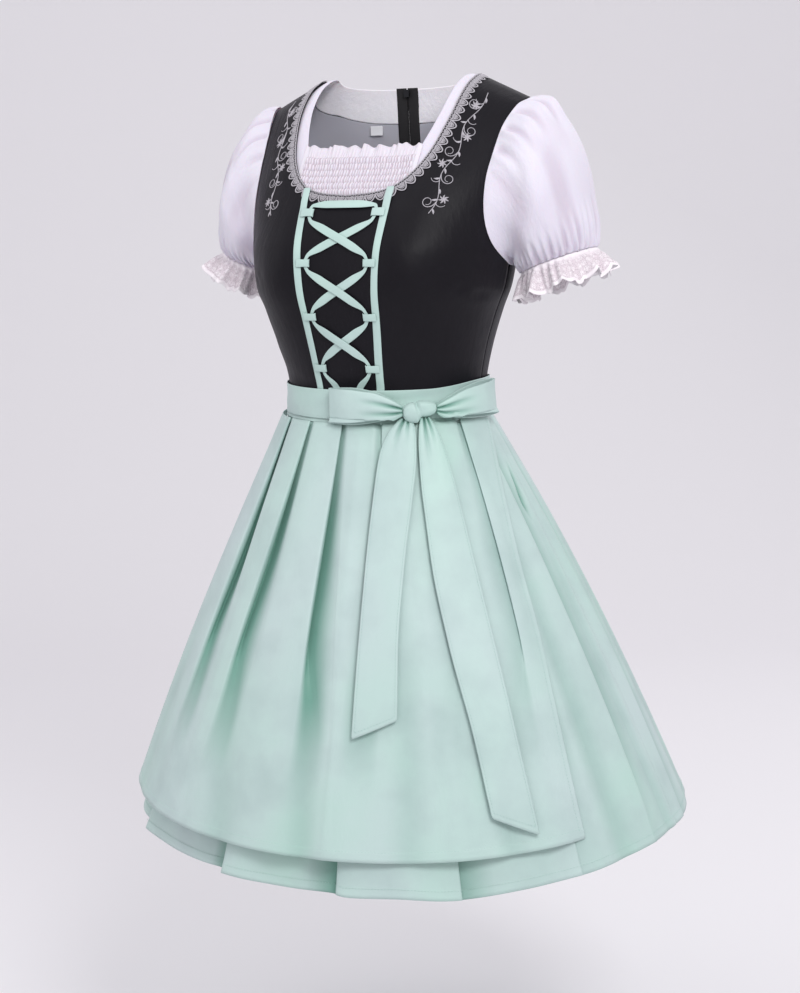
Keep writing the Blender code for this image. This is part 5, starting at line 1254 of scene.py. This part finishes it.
def makeSkirt():
    half = form["seam"] / 2
    grid, hollowShade = skirtGrid(skirt["frontFolds"], -90, 90, half, half)
    clothPiece("skirtFront", grid, mintSatin, "mint_satin", ["skirt_front"], skirt["frontCut"], held="hung",
               rests=["bodice_front_center"], hollowShade=hollowShade)
    for side, sign in (("Left", 1), ("Right", -1)):
        # below the zip the centre back is sewn shut
        grid, hollowShade = skirtGrid(skirt["backFolds"], 90, 180, half, 0.0, sign)
        if sign < 0:
            grid, hollowShade = mirrored(grid), hollowShade[:, ::-1]
        clothPiece("skirtBack" + side, grid, mintSatin, "mint_satin", ["skirt_back_" + side.lower()],
                   skirt["backCut"], held="hung", rests=["bodice_back_" + side.lower()], hollowShade=hollowShade)
    levels = [apronLevel(down) for down in hemRows(apron["top"], apron["hem"], apron["rows"])]
    grid, hollowShade = [np.array(part) for part in zip(*levels)]
    clothPiece("apronSkirt", grid, mintSatin, "mint_satin", ["apron_skirt"], apron["cut"], held="hung",
               rests=["apron_waistband"], hollowShade=hollowShade)


makeSkirt()
print("skirt and apron ready")

# ---- waistband, tie, bow and tails
band = {"drops": (0.3560, 0.3910), "tieDrops": (0.3520, 0.3870), "half": 82.5, "rise": 0.0050,
        "cut": (0.345, 0.0352), "tieCut": (0.715, 0.0352)}
bow = {
    # half of the width, depth and height of the knot, then of its two turns: height and how far they sit up
    "knot": {"angle": 38.8, "drop": 0.3755, "half": (0.0195, 0.0085), "turns": ((0.0092, 0.0026), (0.0122, -0.0012)),
             "crease": (0.12, 0.10, 0.11)},
    # where the folds pressed by the knot lie between the edges of a loop, their width and depth
    "pinches": ((0.31, 0.075, 0.0050), (0.66, 0.070, 0.0046)),
    "along": (0.00, 0.20, 0.45, 0.75, 1.00),
    "right": {"angle": (30.0, 25.0, 15.0, 3.0, -7.5), "low": (0.3800, 0.3855, 0.3910, 0.3935, 0.3925),
              "high": (0.3690, 0.3620, 0.3520, 0.3465, 0.3475), "front": (0.0170, 0.0175, 0.0185, 0.0165, 0.0125),
              "back": (0.0105, 0.0085, 0.0080, 0.0080, 0.0085)},
    "left": {"angle": (47.6, 52.5, 63.0, 77.0, 89.0), "low": (0.3800, 0.3860, 0.3915, 0.3935, 0.3950),
             "high": (0.3700, 0.3650, 0.3545, 0.3470, 0.3450), "front": (0.0170, 0.0175, 0.0195, 0.0205, 0.0185),
             "back": (0.0105, 0.0090, 0.0090, 0.0095, 0.0130)},
    "loopCut": (0.200, 0.046, 0.0080), "knotCut": (0.075, 0.040, 0.0025),
}
tails = {
    "right": {"z": (-0.3880, -0.4000, -0.4250, -0.4700, -0.5300, -0.6200, -0.7040),
              "first": (28.5, 23.2, 18.3, 15.8, 13.9, 12.6, 11.9), "second": (35.0, 35.6, 34.6, 30.9, 26.6, 23.2, 22.2),
              "out": (0.0120, 0.0115, 0.0105, 0.0095, 0.0090, 0.0090, 0.0095), "slant": 0.010,
              "cut": (0.060, 0.360, 0.0175)},
    "left": {"z": (-0.3880, -0.4000, -0.4250, -0.4700, -0.5300, -0.6200, -0.7200, -0.8090),
             "first": (39.0, 37.2, 35.6, 34.6, 34.6, 36.3, 39.0, 40.2),
             "second": (44.0, 46.4, 48.2, 48.9, 48.9, 48.9, 49.0, 49.3),
             "out": (0.0125, 0.0120, 0.0110, 0.0100, 0.0095, 0.0095, 0.0100, 0.0110), "slant": -0.012,
             "cut": (0.060, 0.475, 0.0240)},
    # the folds under the knot: where between the edges, width, depth and how far down
    "pinches": ((0.36, 0.070, 0.0055, 0.085), (0.68, 0.065, 0.0050, 0.062)),
}


def bowLoopGrid(look, toLeft):
    shape = {name: smoothCurve(bow["along"], look[name]) for name in ("angle", "low", "high", "front", "back")}
    along = np.linspace(0, 1, 30)
    across = np.linspace(0, 1, 22)[:, None]
    hollowShades = []

    def layer(side, along):
        drop = blend(shape["high"](along), shape["low"](along), across)
        pinch = (1 - ease((along - 0.08) / 0.62)) * (0.55 + 0.45 * ease(along / 0.12))
        fan = 0.0
        for spot, wide, deep in bow["pinches"]:
            # each fold runs out from the knot and bends a little as it fades
            fan = fan - deep * pinch * np.exp(-(((across - spot - 0.10 * (0.5 - spot) * along) / wide) ** 2))
        # painted shade in the pressed folds, next to the knot, and along the lower edge near the knot
        hollowShade = np.clip(-fan / 0.0042, 0, 1) + 0.6 * np.exp(-along / 0.06)
        hollowShades.append(np.clip(hollowShade + 0.35 * ease((across - 0.80) / 0.2) * pinch, 0, 1))
        belly = 0.0036 * np.sin(across * math.pi) ** 0.8 * np.sin(along * math.pi)
        out = shape[side](along) + (belly + fan if side == "front" else 0.25 * fan)
        return waistPoint(np.broadcast_to(shape["angle"](along), drop.shape), drop, out)

    tips = []
    for turn in np.linspace(0, 1, 9)[1:-1]:
        end = np.array([1.0])
        middle = (shape["front"](end) + shape["back"](end)) / 2
        half = (shape["front"](end) - shape["back"](end)) / 2
        angle = shape["angle"](end) + (-1 if toLeft else 1) * 1.3 * math.sin(math.pi * turn)
        drop = blend(shape["high"](end), shape["low"](end), across)
        out = middle + half * math.cos(math.pi * turn) * (-1 if toLeft else 1)
        tips.append(waistPoint(np.broadcast_to(angle, drop.shape), drop, np.broadcast_to(out, drop.shape)))
    tip = np.concatenate(tips, axis=1)
    first, second = ("back", "front") if toLeft else ("front", "back")
    grid = np.concatenate([layer(first, along), tip, layer(second, along)[:, ::-1]], axis=1)
    return grid, np.concatenate([hollowShades[0], np.zeros(tip.shape[:2]), hollowShades[1][:, ::-1]], axis=1)


def tailGrid(look):
    first, second, out = [smoothCurve(look["z"], look[name]) for name in ("first", "second", "out")]
    share = np.linspace(0, 1, 70)
    z = blend(look["z"][0], look["z"][-1], share ** 1.15)
    aside = np.linspace(0, 1, 18)
    angle = blend(first(z)[:, None], second(z)[:, None], aside)
    height = z[:, None] + look["slant"] * (2 * aside - 1) * share[:, None] ** 3
    down = np.maximum((-form["waistDrop"] - height) / form["skirtLength"], 0.002)
    cup = 0.0012 * np.sin(aside * math.pi) * (1 - share[:, None])
    pucker = 0.0008 * np.sin(aside * math.pi * 3 + 0.5) * np.exp(-share[:, None] / 0.12)
    # painted shade under the knot at the top of the tail and in the folds it presses
    hollowShade = 0.55 * np.exp(-((share[:, None] / 0.022) ** 2)) + 0 * aside
    for spot, wide, deep, far in tails["pinches"]:
        fold = np.exp(-(((aside - spot) / wide) ** 2)) * np.exp(-((share[:, None] / far) ** 2))
        pucker, hollowShade = pucker - deep * fold, hollowShade + 0.9 * fold
    lift = 0.0008 * np.sin(share[:, None] * 9 + aside * 1.5) * ease(share[:, None] * 2)
    grid = skirtPoint(angle, down, out(z)[:, None] + cup + pucker + lift + sway(angle, down))
    return grid, np.clip(hollowShade, 0, 1)


def makeKnot():
    look = bow["knot"]
    halfWidth, halfDepth = look["half"]
    spot = torsoPoint(look["angle"], look["drop"], tieOut + form["cloth"] + form["seam"] + halfDepth)
    outward = unit(torsoPoint(look["angle"], look["drop"], 0.01) - torsoPoint(look["angle"], look["drop"], 0.0))
    sideways = unit(np.cross([0, 0, 1.0], -outward))
    around = np.linspace(0, 2 * math.pi, 120, endpoint=False)
    facing, upright = np.cos(around), np.sin(around)
    rows = []
    # one turn of the tie crosses over the other, with a slanted crease between them
    for t in np.linspace(-0.985, 0.985, 72):
        size = (1 - abs(t) ** 2.6) ** 0.42
        middle = look["crease"][0] + look["crease"][1] * upright
        over = ease((t - middle) / 0.30 + 0.5)
        height = blend(look["turns"][0][0], look["turns"][1][0], over) * size
        crease = np.exp(-(((t - middle) / look["crease"][2]) ** 2)) * np.clip(0.35 + 0.75 * upright, 0.12, 1)
        pressed = 0.06 * np.sin(around * 6 + t * 4) * abs(t) ** 2 + 0.035 * np.sin(around * 3 + t * 7)
        depth = halfDepth * size * (1 - 0.62 * crease * (facing > 0) + 0.10 * over + pressed * (facing > 0))
        height = height * (1 - 0.22 * crease)
        hang = blend(look["turns"][0][1], look["turns"][1][1], over)
        ring = spot + (np.sign(facing) * np.abs(facing) ** 0.8 * depth)[:, None] * outward
        ring = ring + (np.sign(upright) * np.abs(upright) ** 0.85 * height + hang)[:, None] * np.array([0, 0, 1.0])
        rows.append(ring + sideways * t * halfWidth)
    thing = clothPiece("bowKnot", np.array(rows), mintSatin, "mint_satin", ["bow_knot"], bow["knotCut"],
                       held="folded", rests=["apron_tie"], ring=True, wall=wallOf["thin"])
    closed = bmesh.new()
    closed.from_mesh(thing.data)
    bmesh.ops.recalc_face_normals(closed, faces=closed.faces)
    closed.to_mesh(thing.data)
    closed.free()


def bandRows(drops):
    # the drops down a waist band and the share of its height that they have passed
    drop = np.linspace(*drops, 16)[:, None]
    return drop, (drop - drop[0]) / (drop[-1] - drop[0])


def makeWaist():
    angle = np.linspace(-band["half"], band["half"], 110)
    drop, share = bandRows(band["drops"])
    rise = band["rise"] * ease((angle - 44) / 40) * (band["drops"][1] - drop) / 0.035
    soft = 0.0004 * np.sin(np.radians(angle) * 23 + drop * 90) * np.sin(math.pi * share)
    clothPiece("apronWaistband", waistPoint(angle + 0 * drop, drop - rise, form["trimGap"] + form["cloth"] + soft),
               mintSatin, "mint_satin", ["apron_waistband"], band["cut"], held="laid", rests=["bodice_front_center"])
    angle = np.linspace(-180, 180, 240, endpoint=False)
    drop, share = bandRows(band["tieDrops"])
    pull = np.exp(-((angle - bow["knot"]["angle"]) / 30) ** 2)
    soft = 0.0008 * np.sin(share * math.pi * 3 + np.radians(angle) * 4) * np.sin(math.pi * share) * (0.3 + pull)
    rise = band["rise"] * ease((angle - 44) / 40) * (1 - ease((angle - 96) / 50)) * (1 - share)
    clothPiece("apronTie", waistPoint(angle + 0 * drop, drop - rise, tieOut + form["cloth"] + soft), mintSatin,
               "mint_satin", ["apron_tie"], band["tieCut"], held="laid", rests=["apron_waistband"], ring=True)
    for side in ("right", "left"):
        grid, hollowShade = bowLoopGrid(bow[side], side == "right")
        clothPiece("bowLoop" + side.title(), grid, mintSatin, "mint_satin", ["bow_loop_" + side], bow["loopCut"],
                   held="folded", rests=["bow_knot"], wall=wallOf["doubled"], hollowShade=hollowShade)
    for side in ("right", "left"):
        grid, hollowShade = tailGrid(tails[side])
        clothPiece("tieTail" + side.title(), grid, mintSatin, "mint_satin", ["tie_tail_" + side], tails[side]["cut"],
                   held="hung", rests=["bow_knot"], wall=wallOf["doubled"], hollowShade=hollowShade)
    makeKnot()


makeWaist()
print("waist ready")


# ---- hems and stitching: one small stitch repeated along each sewing line
def stitchTree():
    tree = bpy.data.node_groups.new("stitchesAlong", "GeometryNodeTree")
    sockets = {}
    tree.interface.new_socket("Geometry", in_out="INPUT", socket_type="NodeSocketGeometry")
    for name in ("pitch", "length", "thick"):
        sockets[name] = tree.interface.new_socket(name, in_out="INPUT", socket_type="NodeSocketFloat").identifier
    sockets["finish"] = tree.interface.new_socket("finish", in_out="INPUT", socket_type="NodeSocketMaterial").identifier
    tree.interface.new_socket("Geometry", in_out="OUTPUT", socket_type="NodeSocketGeometry")
    nodes = tree.nodes
    start, end = nodes.new("NodeGroupInput"), nodes.new("NodeGroupOutput")
    toCurve = nodes.new("GeometryNodeMeshToCurve")
    resample = nodes.new("GeometryNodeResampleCurve")
    resample.mode = "LENGTH"
    thread = nodes.new("GeometryNodeMeshUVSphere")
    thread.inputs["Segments"].default_value = 6
    thread.inputs["Rings"].default_value = 4
    size = nodes.new("ShaderNodeCombineXYZ")
    scale = nodes.new("GeometryNodeTransform")
    onPoints = nodes.new("GeometryNodeInstanceOnPoints")
    tangent = nodes.new("GeometryNodeInputTangent")
    align = nodes.new("FunctionNodeAlignEulerToVector")
    align.axis = "X"
    realize = nodes.new("GeometryNodeRealizeInstances")
    paint = nodes.new("GeometryNodeSetMaterial")
    thread.inputs["Radius"].default_value = 0.5
    for giver, output, taker, place in (
            (start, "Geometry", toCurve, 0), (toCurve, 0, resample, "Curve"), (start, "pitch", resample, "Length"),
            (start, "length", size, 0), (start, "thick", size, 1), (start, "thick", size, 2),
            (thread, 0, scale, "Geometry"), (size, 0, scale, "Scale"), (resample, 0, onPoints, "Points"),
            (scale, 0, onPoints, "Instance"), (tangent, 0, align, "Vector"), (align, 0, onPoints, "Rotation"),
            (onPoints, 0, realize, 0), (realize, 0, paint, "Geometry"), (start, "finish", paint, "Material"),
            (paint, 0, end, 0)):
        tree.links.new(giver.outputs[output], taker.inputs[place])
    return tree, sockets


def makeStitches(name, lines, finish, sizes):
    # lines are lists of points along the sewing
    mesh = bpy.data.meshes.new(name + "Lines")
    points, edges = [], []
    for line in lines:
        first = len(points)
        points += [tuple(point) for point in line]
        edges += [(first + i, first + i + 1) for i in range(len(line) - 1)]
    mesh.from_pydata(points, edges, [])
    guide = inScene(name + "Lines", mesh)
    tree, sockets = stitchTree()
    sewing = guide.modifiers.new("sewing", "NODES")
    sewing.node_group = tree
    for key in ("pitch", "length", "thick"):
        sewing[sockets[key]] = sizes[key]
    sewing[sockets["finish"]] = finish
    made = bpy.data.meshes.new_from_object(guide.evaluated_get(bpy.context.evaluated_depsgraph_get()))
    bpy.data.objects.remove(guide)
    made.name = name
    made.shade_smooth()
    return dressPiece(inScene(name, made), finish, [])


def makeSewing():
    lift = 0.00015
    lines = [apronLevel(apron["hem"] - stitching["hem"] / form["skirtLength"], lift)[0]]
    for sign in (-1, 1):
        line = []
        for down in np.linspace(apron["top"] + 0.01, apron["hem"] - 0.02, 90):
            level = apronLevel(down, lift)[0][::sign]
            lengths = runOf(level)
            line.append([np.interp(stitching["edge"], lengths, level[:, k]) for k in range(3)])
        lines.append(line)
    for folds, start, end, sign in ((skirt["frontFolds"], -90, 90, 1), (skirt["backFolds"], 90, 180, 1),
                                    (skirt["backFolds"], 90, 180, -1)):
        grid = skirtGrid(folds, start, end, 0.002, 0.002, sign)[0]
        row = grid[-3] * (acrossMirror if sign < 0 else 1.0)
        outward = unit(row * np.array([1, 1, 0]) - np.array([0, form["hemCenterY"], 0]))
        lines.append(row + outward * (lift + 0.0004))
    for side in ("right", "left"):
        grid = tailGrid(tails[side])[0]
        normal = unit(np.cross(np.gradient(grid, axis=0), np.gradient(grid, axis=1)))
        normal = normal * np.sign(-normal[..., 1:2])
        raised = grid + normal * (lift + 0.0002)
        lines.append(np.concatenate([raised[3:-2, 1], raised[-2, 1:-1], raised[3:-2, -2][::-1]]))
    makeStitches("mintStitches", lines, mintThread, stitching)
    # the coils of the zip meet along the centre back, under the slider
    drop = np.linspace(neckInside["zipTop"] + zipCoil["fromTop"], zipCoil["endDrop"], 160)
    coils = [backPoint(side + 0 * drop, drop, insideOut - 0.0004) for side in (-zipCoil["aside"], zipCoil["aside"])]
    makeStitches("zipCoils", coils, zipTapeBlack, zipCoil)


makeSewing()
print("stitches ready")

# ---- zip slider and pull keep their solids with a better finish
for node in ("zip_slider", "zip_pull_tab"):
    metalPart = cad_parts[node]
    for place in metalPart.material_slots:
        place.material = darkMetal

# ---- floor, light and camera
studio = {
    "floorZ": -1.30, "floorColor": (0.895, 0.875, 0.905), "worldColor": (0.95, 0.945, 0.972), "worldStrength": 0.66,
    "camera": {"azimuth": 25.7, "distance": 2.206, "height": -0.092, "pitch": 10.3, "roll": -1.7, "aside": 0.010,
               "focal": 1882.0, "frameHeight": 993, "sensor": 36.0, "centerY": -0.064},
    # place, aim, size, watts
    "lamps": (((1.55, -1.60, 1.20), (0, -0.05, -0.15), 0.9, 34), ((-2.2, -1.6, 0.7), (0, -0.05, -0.2), 2.0, 9),
              ((-0.3, -0.7, 2.0), (0, -0.05, -0.1), 1.0, 8), ((0.6, 2.3, 1.2), (0, -0.05, -0.3), 1.6, 13)),
}


def makeStudio():
    mesh = bpy.data.meshes.new("floor")
    z = studio["floorZ"]
    profile = [(-4.0, z), (2.2, z)] + [(2.2 + 1.4 * math.sin(t), z + 1.4 - 1.4 * math.cos(t))
                                       for t in np.linspace(0, math.pi / 2, 12)[1:]] + [(3.6, z + 6.0)]
    turn = math.radians(studio["camera"]["azimuth"])
    aside = Vector((math.cos(turn), math.sin(turn), 0))
    away = Vector((-math.sin(turn), math.cos(turn), 0))
    points = []
    for depth, height in profile:
        for side in (-7, 7):
            points.append(aside * side + away * depth + Vector((0, 0, height)))
    mesh.from_pydata(points, [], [(2 * i, 2 * i + 1, 2 * i + 3, 2 * i + 2) for i in range(len(profile) - 1)])
    mesh.shade_smooth()
    floor = inScene("floor", mesh)
    paper = Finish("studioPaper", {"color": studio["floorColor"], "roughness": 0.9})
    floor.data.materials.append(paper.material)
    world = bpy.data.worlds.new("studioWorld")
    bpy.context.scene.world = world
    world.use_nodes = True
    world.node_tree.nodes["Background"].inputs["Color"].default_value = (*studio["worldColor"], 1)
    world.node_tree.nodes["Background"].inputs["Strength"].default_value = studio["worldStrength"]
    for number, (place, aim, size, watts) in enumerate(studio["lamps"]):
        data = bpy.data.lights.new("lamp%d" % number, "AREA")
        data.energy, data.size = watts, size
        lamp = inScene("lamp%d" % number, data)
        lamp.location = place
        lamp.rotation_euler = (Vector(aim) - Vector(place)).to_track_quat("-Z", "Y").to_euler()


def makeCamera():
    look = studio["camera"]
    a, p, r = [math.radians(look[key]) for key in ("azimuth", "pitch", "roll")]
    back = Vector((math.sin(a) * math.cos(p), -math.cos(a) * math.cos(p), math.sin(p)))
    level = Vector((math.cos(a), math.sin(a), 0))
    upright = back.cross(level)
    right = math.cos(r) * level + math.sin(r) * upright
    up = -math.sin(r) * level + math.cos(r) * upright
    place = Vector((math.sin(a), -math.cos(a), 0)) * look["distance"] + level * look["aside"]
    place += Vector((0, look["centerY"], look["height"]))
    data = bpy.data.cameras.new("camera")
    data.sensor_fit = "VERTICAL"
    data.sensor_height = look["sensor"]
    data.lens = look["sensor"] * look["focal"] / look["frameHeight"]
    camera = inScene("camera", data)
    rows = [(right[k], up[k], back[k], place[k]) for k in range(3)]
    camera.matrix_world = Matrix(rows + [(0, 0, 0, 1)])
    bpy.context.scene.camera = camera


makeStudio()
makeCamera()
bpy.context.scene.view_settings.view_transform = "Standard"
print("studio ready")
